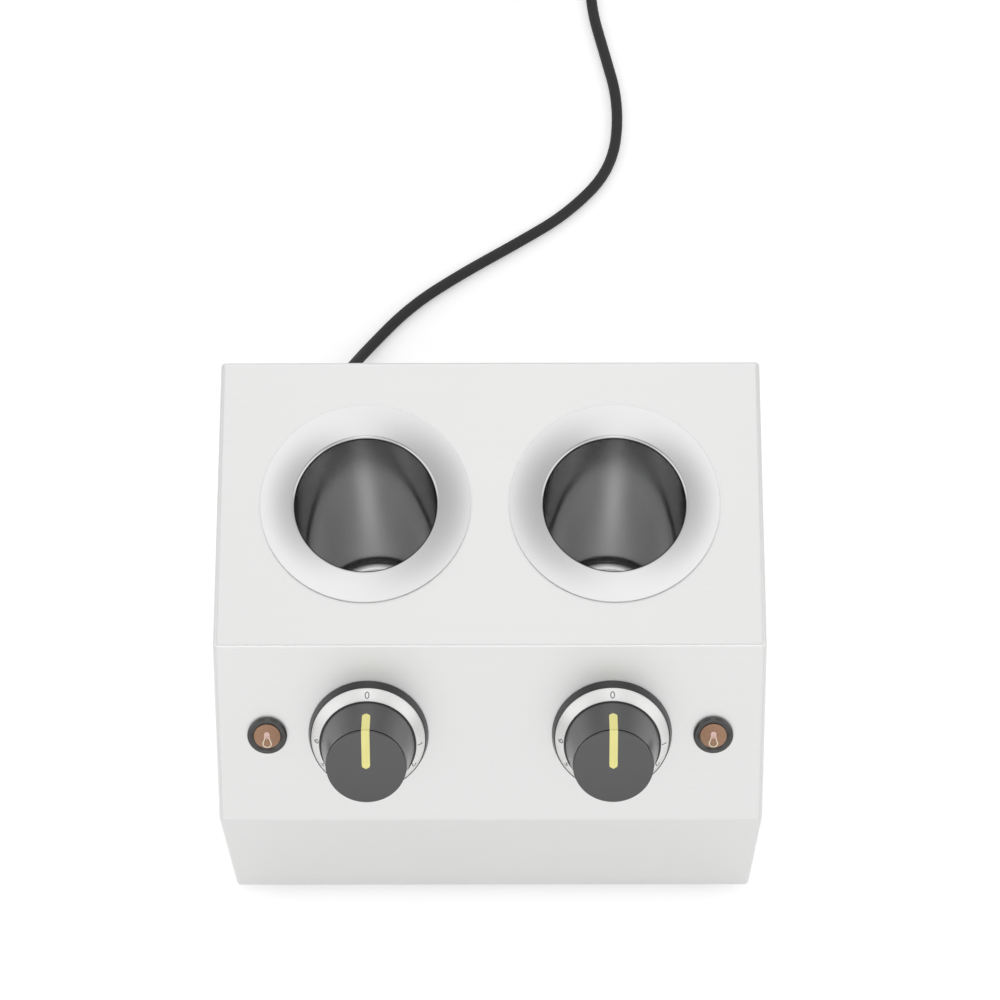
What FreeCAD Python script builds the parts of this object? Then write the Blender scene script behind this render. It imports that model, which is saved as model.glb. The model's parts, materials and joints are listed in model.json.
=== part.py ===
import FreeCAD, Part
import math
import os
import Sketcher
from FreeCAD import Placement, Rotation, Vector

# Twin-well topping warmer, in millimetres: X to the right, Y to the back, Z up.
# The origin lies on the table, in the middle of the warmer without its lead.

doc = FreeCAD.newDocument("ToppingWarmer")
sheet = doc.addObject("Spreadsheet::Sheet", "Sizes")

sizes = {
    # housing and base
    "bodyWidth": 283,
    "deckDepth": 157.5,
    "panelRun": 72,
    "panelRise": 72,
    "sheetGauge": 1,
    "bendRadius": 2.4,
    "lipWidth": 14,
    "plateGauge": 1.2,
    "plateInset": 2.8,
    "ventLength": 34,
    "ventWidth": 4,
    "ventPitch": 10,
    "footHeight": 6,
    "footRadius": 10,
    "footTaper": 1.5,
    "footInset": 24,
    # wells
    "wellBoreRadius": 36.6,
    "wellForward": 0.9,
    "wellDepth": 188,
    "wellGauge": 0.8,
    "wellRimRadius": 2.2,
    "wellFloorRadius": 5,
    "flangeRadius": 54.7,
    "flangeFlat": 1.8,
    "flangeDish": 2.2,
    "flangeEdge": 0.3,
    "deckHoleGap": 0.4,
    "sealGauge": 0.3,
    "sealInset": 0.4,
    # bands and jackets round the wells
    "bandFit": 0.1,
    "bandSlotAngle": 9,
    "clampHeight": 14,
    "clampGauge": 1.5,
    "clampReach": 5,
    "heaterHeight": 62,
    "heaterGauge": 3,
    "heaterLift": 26,
    "earLength": 13,
    "earGauge": 2,
    "jacketGap": 0.3,
    "jacketThickness": 10,
    "jacketHeight": 140,
    "jacketLift": 6,
    "jacketSlotAngle": 50,
    "cutoutRadius": 8,
    "cutoutHeight": 7,
    "cutoutGap": 4.7,
    "tabWidth": 6.3,
    "tabGauge": 0.8,
    "tabLength": 8,
    # controls on the panel
    "controlDrop": 0.2,
    "knobRise": 35.9,
    "knobFaceRadius": 20.4,
    "knobFaceEdge": 1,
    "knobGripRadius": 22.6,
    "knobSkirtRadius": 25,
    "knobSkirtHeight": 1.2,
    "knobWall": 2.4,
    "knobGap": 0.6,
    "hubRadius": 6.5,
    "hubLift": 6.5,
    "shaftRadius": 3,
    "shaftFlat": 1.6,
    "shaftReach": 25,
    "shaftSink": 13,
    "shaftFit": 0.06,
    "pointerWidth": 4.2,
    "pointerDepth": 1,
    "pointerOverrun": 0.9,
    "bezelRadius": 31,
    "bezelHeight": 5.2,
    "bezelTaper": 1.2,
    "bezelWeb": 3,
    "bezelHole": 9,
    "dialRadius": 29.35,
    "dialBoreRadius": 24,
    "dialRise": 5.3,
    "dialGauge": 0.8,
    "dialFit": 0.1,
    "clipGauge": 0.6,
    "clipHeight": 5,
    "clipSlotAngle": 60,
    "thermostatWidth": 36,
    "thermostatLength": 40,
    "thermostatDepth": 20,
    "bracketGauge": 1.5,
    "bracketOverhang": 3,
    "shaftHoleRadius": 5.5,
    "fixingSpacing": 28,
    "lampRimRadius": 10.3,
    "lampRimHeight": 2.6,
    "lampBarrelRadius": 6.4,
    "lampBarrelLength": 22,
    "lensRadius": 6.85,
    "lensSink": 1.4,
    "lensDome": 0.9,
    # wiring
    "blockWidth": 26,
    "blockLength": 16,
    "blockHeight": 17,
    "blockPitch": 8,
    "blockBoreRadius": 2,
    "blockSideInset": 29.5,
    "blockBackGap": 38,
    "earthInset": 34,
    "bulbRadius": 3,
    "bulbHeadroom": 34,
    "bulbLift": 6,
    "bulbSide": 11,
    "bulbClipSlotAngle": 84,
    "capillaryRadius": 0.9,
    "capillaryDrop": 14,
    "capillarySlack": 20,
    "capillaryRise": 12,
    # fasteners
    "screwRadius": 2,
    "screwHeadRadius": 3.8,
    "screwHeadHeight": 2.2,
    "screwFit": 0.2,
    "screwReach": 5,
    "nutAcross": 7,
    "nutHeight": 3.2,
    # lead
    "cordRadius": 3.25,
    "cordExitInset": 46.5,
    "cordExitHeight": 25,
    "glandFlangeRadius": 10,
    "glandFlangeHeight": 3,
    "glandThreadRadius": 7.5,
    "glandCapRadius": 8.5,
    "glandCapHeight": 6,
    "sleeveLength": 28,
    "sleeveWall": 1.4,
    "sleeveRootWall": 3,
    "cordLeadOut": 20,
    "cordLeadIn": 31,
    "leadInside": 4,
    "coreRadius": 1.2,
    "coilMiddleRadius": 38,
    "coilPitch": 7,
    "coilClimb": 7,
    "coilRun": 34,
    "plugRadius": 18.5,
    "plugLength": 38,
    "plugShoulder": 14,
    "plugNeckRadius": 8,
    "pinRadius": 2.4,
    "pinSpacing": 19,
    "pinLength": 19,
    "overrun": 3,
}
for row, (name, number) in enumerate(sizes.items(), start=1):
    sheet.set(f"A{row}", name)
    sheet.set(f"B{row}", str(number))
    sheet.setAlias(f"B{row}", name)
doc.recompute()

# Places that many pieces share, written once in the sheet's own sizes.
bodyDepth = "(Sizes.deckDepth + Sizes.panelRun)"
panelTilt = "atan(Sizes.panelRise / Sizes.panelRun)"
controlAhead = f"Sizes.controlDrop * cos({panelTilt})"
knobReach = f"(Sizes.knobRise * sin({panelTilt}) + Sizes.knobFaceRadius * cos({panelTilt}))"
overhang = f"max(0; {knobReach} + {controlAhead} - Sizes.panelRun / 2)"
frontY = f"(({overhang} - {bodyDepth}) / 2)"
backY = f"(({overhang} + {bodyDepth}) / 2)"
middleY = f"(({frontY} + {backY}) / 2)"
foldY = f"({frontY} + Sizes.panelRun)"
housingFoot = "(Sizes.footHeight + Sizes.plateGauge)"
bodyHeight = "(Sizes.wellDepth + Sizes.wellGauge + Sizes.cutoutHeight + Sizes.cutoutGap)"
deckTop = f"({housingFoot} + {bodyHeight})"
controlY = f"({frontY} + Sizes.panelRun / 2 - {controlAhead})"
controlZ = f"({deckTop} - Sizes.panelRise / 2 - Sizes.controlDrop * sin({panelTilt}))"
wellY = f"({foldY} + Sizes.deckDepth / 2 - Sizes.wellForward)"
cupRadius = "(Sizes.wellBoreRadius + Sizes.wellGauge)"
flangeTop = "(Sizes.sealGauge + Sizes.wellGauge)"
flangeInner = f"({flangeTop} - Sizes.flangeDish)"
flangeStep = "(Sizes.flangeRadius - Sizes.flangeFlat)"
deckHoleRadius = f"({flangeStep} - Sizes.deckHoleGap)"
dialTop = "(Sizes.bezelHeight + Sizes.dialRise)"
knobFoot = f"({dialTop} + Sizes.knobGap)"
screwHoleRadius = "(Sizes.screwRadius + Sizes.screwFit)"
blockMiddleX = "(-Sizes.bodyWidth / 2 + Sizes.blockSideInset)"
blockMiddleY = f"({backY} - Sizes.sheetGauge - Sizes.blockBackGap)"
bulbReach = f"({cupRadius} + Sizes.bulbRadius + Sizes.bandFit)"
bulbDrop = "(Sizes.wellDepth - Sizes.heaterLift - Sizes.heaterHeight - Sizes.bulbLift)"
bulbLength = f"({bulbDrop} - Sizes.bulbHeadroom)"

sides = {"left": -1, "right": 1}
wellGapShare = 0.305
knobGapShare = 0.539
lampGapShare = 0.275
lipScrewShare = 0.7
bracketShare = 0.6
tabShare = 0.3
cutoutTabShare = 0.8
capillaryShare = 0.7
capillaryArcShare = 0.45
coreArcShare = 0.45
coreRingShare = 1.3
cordArcShare = 0.45
gripShare = 0.31

# The two wells share the free width of the deck, and the knobs and lamps that of the panel.
halfWidth = "(Sizes.bodyWidth / 2)"
deckSlack = f"({halfWidth} - 2 * Sizes.flangeRadius)"
panelSlack = f"({halfWidth} - 2 * Sizes.bezelRadius - 2 * Sizes.lampRimRadius)"
wellX = f"(Sizes.flangeRadius + {wellGapShare} * {deckSlack})"
knobX = f"(Sizes.bezelRadius + {knobGapShare} * {panelSlack})"
lampX = f"({halfWidth} - Sizes.lampRimRadius - {lampGapShare} * {panelSlack})"
exitX = f"(Sizes.cordExitInset - {halfWidth})"

# Route of the lead between its strain relief and the coil: x and y from the place where it leaves
# the back, and the height of its centre line above the table.
cordRoute = (
    (5.7, 75.5, 16),
    (21, 94.2, 0),
    (45.2, 122.8, 0),
    (75, 143.8, 0),
    (107.9, 163.1, 0),
    (139.6, 183.5, 0),
    (166.2, 213.4, 0),
    (170.5, 255.1, 0),
    (161.5, 291.5, 0),
    (153.8, 322.1, 0),
)
coilSpot = (105.5, 390.2)
coilQuarters = 21
coilReverse = 10
coilEntryRadius = f"(Sizes.coilMiddleRadius + Sizes.coilPitch * {coilReverse / 8})"


def value(expression):
    # the number that an expression of the sheet gives
    result = sheet.evalExpression(expression)
    return getattr(result, "Value", result)


def sided(side, place):
    # the same distance from the middle, to the left or to the right
    return f"({sides[side]} * {place})"


nodes = []


def newBody(label, kept=True):
    # a body is kept as a node of its own, unless it only shapes or repeats into another
    body = doc.addObject("PartDesign::Body", label)
    body.Label = label
    if kept:
        nodes.append(body)
    return body


def newSketch(body, name, role, base=("0", "0", "0")):
    sketch = body.newObject("Sketcher::SketchObject", f"{body.Name}{name}")
    plane = next(feature for feature in body.Origin.OriginFeatures if feature.Role == role)
    sketch.AttachmentSupport = [(plane, "")]
    sketch.MapMode = "FlatFace"
    for axis, place in zip("xyz", base):
        sketch.setExpression(f"AttachmentOffset.Base.{axis}", place)
    return sketch


def hold(sketch, geometry, point, x, y):
    # holds one point of a sketch at a place that the sheet gives
    for kind, place in (("DistanceX", x), ("DistanceY", y)):
        number = sketch.addConstraint(Sketcher.Constraint(kind, -1, 1, geometry, point, value(place)))
        sketch.setExpression(f"Constraints[{number}]", place)


def outline(sketch, points):
    # closed outline; a point (x, y, radius, side) ends an arc that bulges to that side of the way
    corners = [Vector(value(point[0]), value(point[1]), 0) for point in points]
    first = sketch.GeometryCount
    count = len(points)
    for index, start in enumerate(corners):
        following = (index + 1) % count
        arc = points[following][2:]
        end = corners[following]
        sketch.addGeometry(bulge(start, end, *arc) if arc else Part.LineSegment(start, end), False)
    ends = [edgeEnds(sketch.Geometry[first + index], corners[index]) for index in range(count)]
    for index, point in enumerate(points):
        following = (index + 1) % count
        join = (first + index, ends[index][1], first + following, ends[following][0])
        sketch.addConstraint(Sketcher.Constraint("Coincident", *join))
        hold(sketch, first + index, ends[index][0], *point[:2])
        for radius in points[following][2:3]:
            number = sketch.addConstraint(Sketcher.Constraint("Radius", first + index, value(radius)))
            sketch.setExpression(f"Constraints[{number}]", radius)


def bulge(start, end, radius, side):
    # arc of less than half a turn between two points; a sketch keeps its arcs anticlockwise
    if side == "left":
        start, end = end, start
    chord = end - start
    across = Vector(chord.y, -chord.x, 0).normalize()
    fromCentre = math.sqrt(value(radius) ** 2 - (chord.Length / 2) ** 2)
    return Part.Arc(start, (start + end) / 2 + across * (value(radius) - fromCentre), end)


def edgeEnds(edge, start):
    # numbers of an edge's first and last point: an arc may be stored the other way round
    forward = edge.StartPoint.distanceToPoint(start) < edge.EndPoint.distanceToPoint(start)
    return (1, 2) if forward else (2, 1)


def circle(sketch, x, y, radius):
    shape = Part.Circle(Vector(value(x), value(y), 0), Vector(0, 0, 1), value(radius))
    geometry = sketch.addGeometry(shape, False)
    hold(sketch, geometry, 3, x, y)
    number = sketch.addConstraint(Sketcher.Constraint("Radius", geometry, value(radius)))
    sketch.setExpression(f"Constraints[{number}]", radius)


def rectangle(sketch, x, y, width, length):
    # a rectangle round its middle point
    left, right = f"{x} - {width} / 2", f"{x} + {width} / 2"
    low, high = f"{y} - {length} / 2", f"{y} + {length} / 2"
    outline(sketch, [(left, low), (right, low), (right, high), (left, high)])


def feature(body, kind, name, sketch, length, midplane=False, reverse=False):
    made = body.newObject(f"PartDesign::{kind}", f"{body.Name}{name}")
    made.Profile = sketch
    made.setExpression("Length", length)
    made.Midplane = midplane
    made.Reversed = reverse
    return made


def revolve(body, points, role="XZ_Plane", slot=None):
    # turns an outline round the body's Z axis, with an open slot on the far side if one is given
    sketch = newSketch(body, "Profile", role)
    outline(sketch, points)
    turned = body.newObject("PartDesign::Revolution", f"{body.Name}Turn")
    turned.Profile = sketch
    turned.ReferenceAxis = (sketch, ["V_Axis"])
    turned.Midplane = slot is not None
    turned.setExpression("Angle", f"360 - {slot}" if slot else "360")
    return turned


def rounded(body, name, base, edges, radius):
    made = body.newObject("PartDesign::Fillet", f"{body.Name}{name}")
    made.Base = (base, edges)
    made.setExpression("Radius", radius)


def edgesWhere(shape, test):
    return [f"Edge{number}" for number, edge in enumerate(shape.Edges, start=1) if test(edge)]


def place(thing, x="0", y="0", z="0", axis=None, angle=None):
    if axis:
        thing.Placement = Placement(Vector(), Rotation(axis, 1))
        thing.setExpression("Placement.Rotation.Angle", angle)
    for direction, at in zip("xyz", (x, y, z)):
        thing.setExpression(f"Placement.Base.{direction}", at)


def seatOnPanel(thing, side, x):
    # local Z stands square on the sloped panel, local Y points up the slope
    place(thing, sided(side, x), controlY, controlZ, Vector(1, 0, 0), panelTilt)


def group(label, template, places):
    # one node of equal pieces: links to a template, each with its own place
    links = []
    for number, put in enumerate(places, start=1):
        link = doc.addObject("App::Link", f"{label}{number}")
        link.LinkedObject = template
        place(link, **put)
        links.append(link)
    compound = doc.addObject("Part::Compound", label)
    compound.Label = label
    compound.Links = links
    nodes.append(compound)


def makeHousing():
    housing = newBody("housing")
    inner = newBody("housingInside", kept=False)
    inset = "Sizes.sheetGauge"
    foldShift = f"{inset} * tan({panelTilt} / 2)"
    kneeShift = f"{inset} * tan((90 deg - {panelTilt}) / 2)"
    walls = (
        (housing, "Sizes.bodyWidth", "Sizes.bendRadius", [
            (frontY, housingFoot),
            (backY, housingFoot),
            (backY, deckTop),
            (foldY, deckTop),
            (frontY, f"{deckTop} - Sizes.panelRise"),
        ]),
        (inner, f"Sizes.bodyWidth - 2 * {inset}", f"Sizes.bendRadius - {inset}", [
            (f"{frontY} + {inset}", f"{housingFoot} + {inset}"),
            (f"{backY} - {inset}", f"{housingFoot} + {inset}"),
            (f"{backY} - {inset}", f"{deckTop} - {inset}"),
            (f"{foldY} + {foldShift}", f"{deckTop} - {inset}"),
            (f"{frontY} + {inset}", f"{deckTop} - Sizes.panelRise - {kneeShift}"),
        ]),
    )
    for body, width, radius, points in walls:
        sketch = newSketch(body, "Section", "YZ_Plane")
        outline(sketch, points)
        block = feature(body, "Pad", "Block", sketch, width, midplane=True)
        doc.recompute()
        rounded(body, "Bends", block, edgesWhere(block.Shape, lambda edge: True), radius)
    hollow = housing.newObject("PartDesign::Boolean", "housingHollow")
    hollow.Type = "Cut"
    hollow.setObjects([inner])

    under = f"{deckTop} - Sizes.sheetGauge - Sizes.overrun"
    deck = newSketch(housing, "DeckHoles", "XY_Plane", ("0", "0", under))
    for side in sides:
        circle(deck, sided(side, wellX), wellY, deckHoleRadius)
    feature(housing, "Pocket", "DeckCut", deck, "Sizes.sheetGauge + 2 * Sizes.overrun", reverse=True)

    panel = newSketch(housing, "PanelHoles", "XY_Plane", ("0", controlY, controlZ))
    panel.AttachmentOffset = Placement(Vector(), Rotation(Vector(1, 0, 0), 1))
    for axis, at in zip("yz", (controlY, controlZ)):
        panel.setExpression(f"AttachmentOffset.Base.{axis}", at)
    panel.setExpression("AttachmentOffset.Rotation.Angle", panelTilt)
    for side in sides:
        circle(panel, sided(side, knobX), "0", "Sizes.shaftHoleRadius")
        circle(panel, sided(side, lampX), "0", "Sizes.lampBarrelRadius + Sizes.screwFit")
        for screw in sides.values():
            circle(panel, f"{sided(side, knobX)} + {screw} * Sizes.fixingSpacing / 2", "0", screwHoleRadius)
    feature(housing, "Pocket", "PanelCut", panel, "2 * Sizes.overrun", midplane=True)

    back = newSketch(housing, "GlandHole", "XZ_Plane", ("0", "0", f"-{backY} + Sizes.sheetGauge / 2"))
    circle(back, exitX, "Sizes.cordExitHeight", "Sizes.glandThreadRadius + Sizes.screwFit")
    feature(housing, "Pocket", "GlandCut", back, "2 * Sizes.overrun", midplane=True)

    opening = newSketch(housing, "Opening", "XY_Plane", ("0", "0", f"{housingFoot} - Sizes.overrun"))
    clear = "2 * Sizes.lipWidth"
    rectangle(opening, "0", middleY, f"(Sizes.bodyWidth - {clear})", f"({bodyDepth} - {clear})")
    feature(housing, "Pocket", "OpeningCut", opening, "Sizes.sheetGauge + 2 * Sizes.overrun", reverse=True)

    lips = newSketch(housing, "LipHoles", "XY_Plane", ("0", "0", f"{housingFoot} - Sizes.overrun"))
    for x, y in lipScrews():
        circle(lips, x, y, screwHoleRadius)
    feature(housing, "Pocket", "LipCut", lips, "Sizes.sheetGauge + 2 * Sizes.overrun", reverse=True)


def lipScrews():
    # three screws along the front and the back lip, and one on each side
    reach = "(Sizes.bodyWidth / 2 - Sizes.plateInset - Sizes.lipWidth / 2 + Sizes.bendRadius / 2)"
    depth = f"({bodyDepth} / 2 - Sizes.plateInset - Sizes.lipWidth / 2 + Sizes.bendRadius / 2)"
    spots = [(f"{step} * {reach}", middleY) for step in (-1, 1)]
    for row in (-1, 1):
        y = f"{middleY} + {row} * {depth}"
        spots += [(f"{step} * {lipScrewShare} * {reach}", y) for step in (-1, 0, 1)]
    return spots


def feetPlaces():
    for row, y in (("front", f"({frontY} + Sizes.footInset)"), ("rear", f"({backY} - Sizes.footInset)")):
        for side in sides:
            yield f"foot_{row}_{side}", sided(side, "(Sizes.bodyWidth / 2 - Sizes.footInset)"), y


def makeBase():
    plate = newBody("base_plate")
    sheetSketch = newSketch(plate, "Outline", "XY_Plane", ("0", "0", "Sizes.footHeight"))
    width = "(Sizes.bodyWidth - 2 * Sizes.plateInset)"
    rectangle(sheetSketch, "0", middleY, width, f"({bodyDepth} - 2 * Sizes.plateInset)")
    slab = feature(plate, "Pad", "Sheet", sheetSketch, "Sizes.plateGauge")
    doc.recompute()
    upright = edgesWhere(slab.Shape, lambda edge: abs(edge.tangentAt(edge.FirstParameter).z) > 0.5)
    rounded(plate, "Corners", slab, upright, "Sizes.lipWidth / 2")

    holes = newSketch(plate, "Holes", "XY_Plane", ("0", "0", "Sizes.footHeight - Sizes.overrun"))
    for x, y in lipScrews():
        circle(holes, x, y, screwHoleRadius)
    for _, x, y in feetPlaces():
        circle(holes, x, y, screwHoleRadius)
    feature(plate, "Pocket", "HoleCut", holes, "Sizes.plateGauge + 2 * Sizes.overrun", reverse=True)

    vents = newSketch(plate, "Vents", "XY_Plane", ("0", "0", "Sizes.footHeight - Sizes.overrun"))
    for side in sides:
        for step in (-2, -1, 0, 1, 2):
            slot(vents, sided(side, wellX), f"({wellY} + {step} * Sizes.ventPitch)")
    feature(plate, "Pocket", "VentCut", vents, "Sizes.plateGauge + 2 * Sizes.overrun", reverse=True)

    for name, x, y in feetPlaces():
        foot = newBody(name)
        foot.Label = name
        bore, recess = screwHoleRadius, "(Sizes.screwHeadRadius + Sizes.screwFit)"
        seat = "(Sizes.screwHeadHeight + 2 * Sizes.screwFit)"
        revolve(foot, [
            (recess, "0"),
            ("Sizes.footRadius - Sizes.footTaper", "0"),
            ("Sizes.footRadius", "Sizes.footHeight"),
            (bore, "Sizes.footHeight"),
            (bore, seat),
            (recess, seat),
        ])
        place(foot, x, y)


def slot(sketch, x, y):
    # a slot along X with round ends, each made of two quarter arcs
    radius = "(Sizes.ventWidth / 2)"
    reach = f"(Sizes.ventLength / 2 - {radius})"
    tip = "(Sizes.ventLength / 2)"
    outline(sketch, [
        (f"{x} - {reach}", f"{y} - {radius}", radius, "right"),
        (f"{x} + {reach}", f"{y} - {radius}"),
        (f"{x} + {tip}", y, radius, "right"),
        (f"{x} + {reach}", f"{y} + {radius}", radius, "right"),
        (f"{x} - {reach}", f"{y} + {radius}"),
        (f"{x} - {tip}", y, radius, "right"),
    ])


def screwTemplate(name, length):
    # pan head screw, its seat at local zero and its shank pointing down
    screw = newBody(name, kept=False)
    headRadius, headHeight = "Sizes.screwHeadRadius", "Sizes.screwHeadHeight"
    revolve(screw, [
        ("0", f"-{length}"),
        ("Sizes.screwRadius", f"-{length}"),
        ("Sizes.screwRadius", "0"),
        (headRadius, "0"),
        (headRadius, f"{headHeight} / 2"),
        (f"{headRadius} - {headHeight} / 2", headHeight),
        ("0", headHeight),
    ])
    return screw


def hexNut(name, across, height, bore, kept=False):
    nut = newBody(name, kept)
    sketch = newSketch(nut, "Hexagon", "XY_Plane")
    flat, half = f"({across} / 2)", f"({across} / 2 * tan(30 deg))"
    corner = f"({across} / 2 / cos(30 deg))"
    outline(sketch, [
        (flat, f"-{half}"), (flat, half), ("0", corner),
        (f"-{flat}", half), (f"-{flat}", f"-{half}"), ("0", f"-{corner}"),
    ])
    circle(sketch, "0", "0", bore)
    feature(nut, "Pad", "Block", sketch, height)
    return nut


def makeBaseFasteners():
    length = "(Sizes.plateGauge + Sizes.sheetGauge + Sizes.screwReach)"
    screw = screwTemplate("baseScrew", length)
    turned = dict(axis=Vector(1, 0, 0), angle="180")
    group("base_screws", screw, [dict(x=x, y=y, z="Sizes.footHeight", **turned) for x, y in lipScrews()])
    seat = "(Sizes.screwHeadHeight + 2 * Sizes.screwFit)"
    footScrew = screwTemplate("footScrew", f"({housingFoot} - {seat} + Sizes.nutHeight + Sizes.screwFit)")
    spots = list(feetPlaces())
    group("foot_screws", footScrew, [dict(x=x, y=y, z=seat, **turned) for _, x, y in spots])
    nut = hexNut("footNut", "Sizes.nutAcross", "Sizes.nutHeight", "Sizes.screwRadius")
    group("foot_nuts", nut, [dict(x=x, y=y, z=housingFoot) for _, x, y in spots])


def makeWell(side):
    well = newBody(f"{side}_well")
    bore, gauge, rim = "Sizes.wellBoreRadius", "Sizes.wellGauge", "Sizes.wellRimRadius"
    floor, curve = "-Sizes.wellDepth", "Sizes.wellFloorRadius"
    revolve(well, [
        ("0", f"{floor} - {gauge}"),
        (f"{bore} - {curve}", f"{floor} - {gauge}"),
        (cupRadius, f"{floor} + {curve}", f"({curve} + {gauge})", "right"),
        (cupRadius, f"{flangeInner} - {rim}"),
        (f"{bore} + {rim}", f"{flangeInner} - {gauge}", f"({rim} - {gauge})", "left"),
        (flangeStep, "Sizes.sealGauge"),
        ("Sizes.flangeRadius", "Sizes.sealGauge"),
        ("Sizes.flangeRadius", f"{flangeTop} - Sizes.flangeEdge"),
        ("Sizes.flangeRadius - Sizes.flangeEdge", flangeTop),
        (flangeStep, flangeTop),
        (f"{bore} + {rim}", flangeInner),
        (bore, f"{flangeInner} - {rim}", rim, "right"),
        (bore, f"{floor} + {curve}"),
        (f"{bore} - {curve}", floor, curve, "left"),
        ("0", floor),
    ])
    place(well, sided(side, wellX), wellY, deckTop)

    seal = newBody(f"{side}_well_seal")
    near, far = flangeStep, "(Sizes.flangeRadius - Sizes.sealInset)"
    revolve(seal, [(near, "0"), (far, "0"), (far, "Sizes.sealGauge"), (near, "Sizes.sealGauge")])
    place(seal, sided(side, wellX), wellY, deckTop)


def makeBand(label, side, points, earHeight, earLow, bandOuter, bandInner):
    # open band round a well with two ears that a screw draws together
    band = newBody(label)
    revolve(band, points, role="YZ_Plane", slot="Sizes.bandSlotAngle")
    half = "Sizes.bandSlotAngle / 2"
    inside = f"{bandInner} * sin({half})"
    sketch = newSketch(band, "Ears", "XY_Plane", ("0", "0", earLow))
    near = f"-({bandInner} + {bandOuter}) / 2 * cos({half})"
    far = f"-({bandOuter} + Sizes.earLength)"
    for sign in ("", "-"):
        start, end = f"{sign}({inside})", f"{sign}({inside} + Sizes.earGauge)"
        left, right = (start, end) if not sign else (end, start)
        outline(sketch, [(left, far), (right, far), (right, near), (left, near)])
    feature(band, "Pad", "EarBlock", sketch, earHeight)
    holes = newSketch(band, "EarHoles", "YZ_Plane")
    circle(holes, earY(bandOuter), f"{earLow} + {earHeight} / 2", screwHoleRadius)
    feature(band, "Pocket", "EarCut", holes, f"4 * ({inside} + Sizes.earGauge)", midplane=True)
    place(band, sided(side, wellX), wellY, deckTop)
    return f"({inside} + Sizes.earGauge)"


def earY(bandOuter):
    return f"-({bandOuter} + Sizes.earLength / 2)"


def makeBands():
    inner = f"({cupRadius} + Sizes.bandFit)"
    under = "Sizes.sheetGauge"
    clampOuter = f"({inner} + Sizes.clampGauge)"
    clampNear = f"({deckHoleRadius} + Sizes.bandFit)"
    clampReach = f"({clampNear} + Sizes.clampReach)"
    clampBend = f"({flangeInner} - Sizes.wellRimRadius - Sizes.bandFit)"
    clampLow = f"(-{under} - Sizes.clampHeight)"
    heaterOuter = f"({inner} + Sizes.heaterGauge)"
    heaterLow = "(Sizes.heaterLift - Sizes.wellDepth)"
    turned = dict(axis=Vector(0, 1, 0), angle="90")
    ears = {}
    for side in sides:
        ears["clamp"] = makeBand(f"{side}_well_clamp", side, [
            (inner, clampLow),
            (clampOuter, clampLow),
            (clampOuter, f"{clampBend} - Sizes.clampGauge"),
            (clampNear, f"-{under} - Sizes.clampGauge"),
            (clampReach, f"-{under} - Sizes.clampGauge"),
            (clampReach, f"-{under}"),
            (clampNear, f"-{under}"),
            (inner, clampBend),
        ], f"({clampBend} - Sizes.clampGauge - {clampLow})", clampLow, clampOuter, inner)
        ears["heater"] = makeBand(f"{side}_heater_band", side, [
            (inner, heaterLow),
            (heaterOuter, heaterLow),
            (heaterOuter, f"{heaterLow} + Sizes.heaterHeight"),
            (inner, f"{heaterLow} + Sizes.heaterHeight"),
        ], "Sizes.heaterHeight", heaterLow, heaterOuter, inner)
    rows = (
        ("clamp", clampOuter, f"({clampLow} / 2 + {clampBend} / 2 - Sizes.clampGauge / 2)"),
        ("heater", heaterOuter, f"({heaterLow} + Sizes.heaterHeight / 2)"),
    )
    for kind, outer, height in rows:
        length = f"(2 * {ears[kind]} + Sizes.nutHeight + Sizes.screwFit)"
        screw = screwTemplate(f"{kind}Screw", length)
        nut = hexNut(f"{kind}Nut", "Sizes.nutAcross", "Sizes.nutHeight", "Sizes.screwRadius")
        spot = dict(y=f"{wellY} + {earY(outer)}", z=f"{deckTop} + {height}", **turned)
        middles = [sided(side, wellX) for side in sides]
        group(f"{kind}_screws", screw, [dict(x=f"{x} + {ears[kind]}", **spot) for x in middles])
        beyond = f"({ears[kind]} + Sizes.nutHeight)"
        group(f"{kind}_nuts", nut, [dict(x=f"{x} - {beyond}", **spot) for x in middles])


def makeJacket(side):
    jacket = newBody(f"{side}_insulation")
    inner = f"({cupRadius} + Sizes.bandFit + Sizes.heaterGauge + Sizes.jacketGap)"
    outer = f"({inner} + Sizes.jacketThickness)"
    low = "(Sizes.jacketLift - Sizes.wellDepth)"
    high = f"({low} + Sizes.jacketHeight)"
    section = [(inner, low), (outer, low), (outer, high), (inner, high)]
    revolve(jacket, section, role="YZ_Plane", slot="Sizes.jacketSlotAngle")
    place(jacket, sided(side, wellX), wellY, deckTop)


def makeCutout(side):
    cutout = newBody(f"{side}_cutout")
    step = "Sizes.cutoutRadius - Sizes.tabGauge"
    revolve(cutout, [
        ("0", "-Sizes.cutoutHeight"),
        (step, "-Sizes.cutoutHeight"),
        (step, "-Sizes.cutoutHeight / 2"),
        ("Sizes.cutoutRadius", "-Sizes.cutoutHeight / 2"),
        ("Sizes.cutoutRadius", "0"),
        ("0", "0"),
    ])
    tabs = newSketch(cutout, "Tabs", "XY_Plane", ("0", "0", f"-{cutoutTabShare} * Sizes.cutoutHeight"))
    width = "(2 * Sizes.cutoutRadius + 2 * Sizes.tabLength)"
    rectangle(tabs, "0", "0", width, "Sizes.tabWidth")
    feature(cutout, "Pad", "TabBlock", tabs, "Sizes.tabGauge")
    place(cutout, sided(side, wellX), wellY, f"{deckTop} - Sizes.wellDepth - Sizes.wellGauge")


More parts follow.
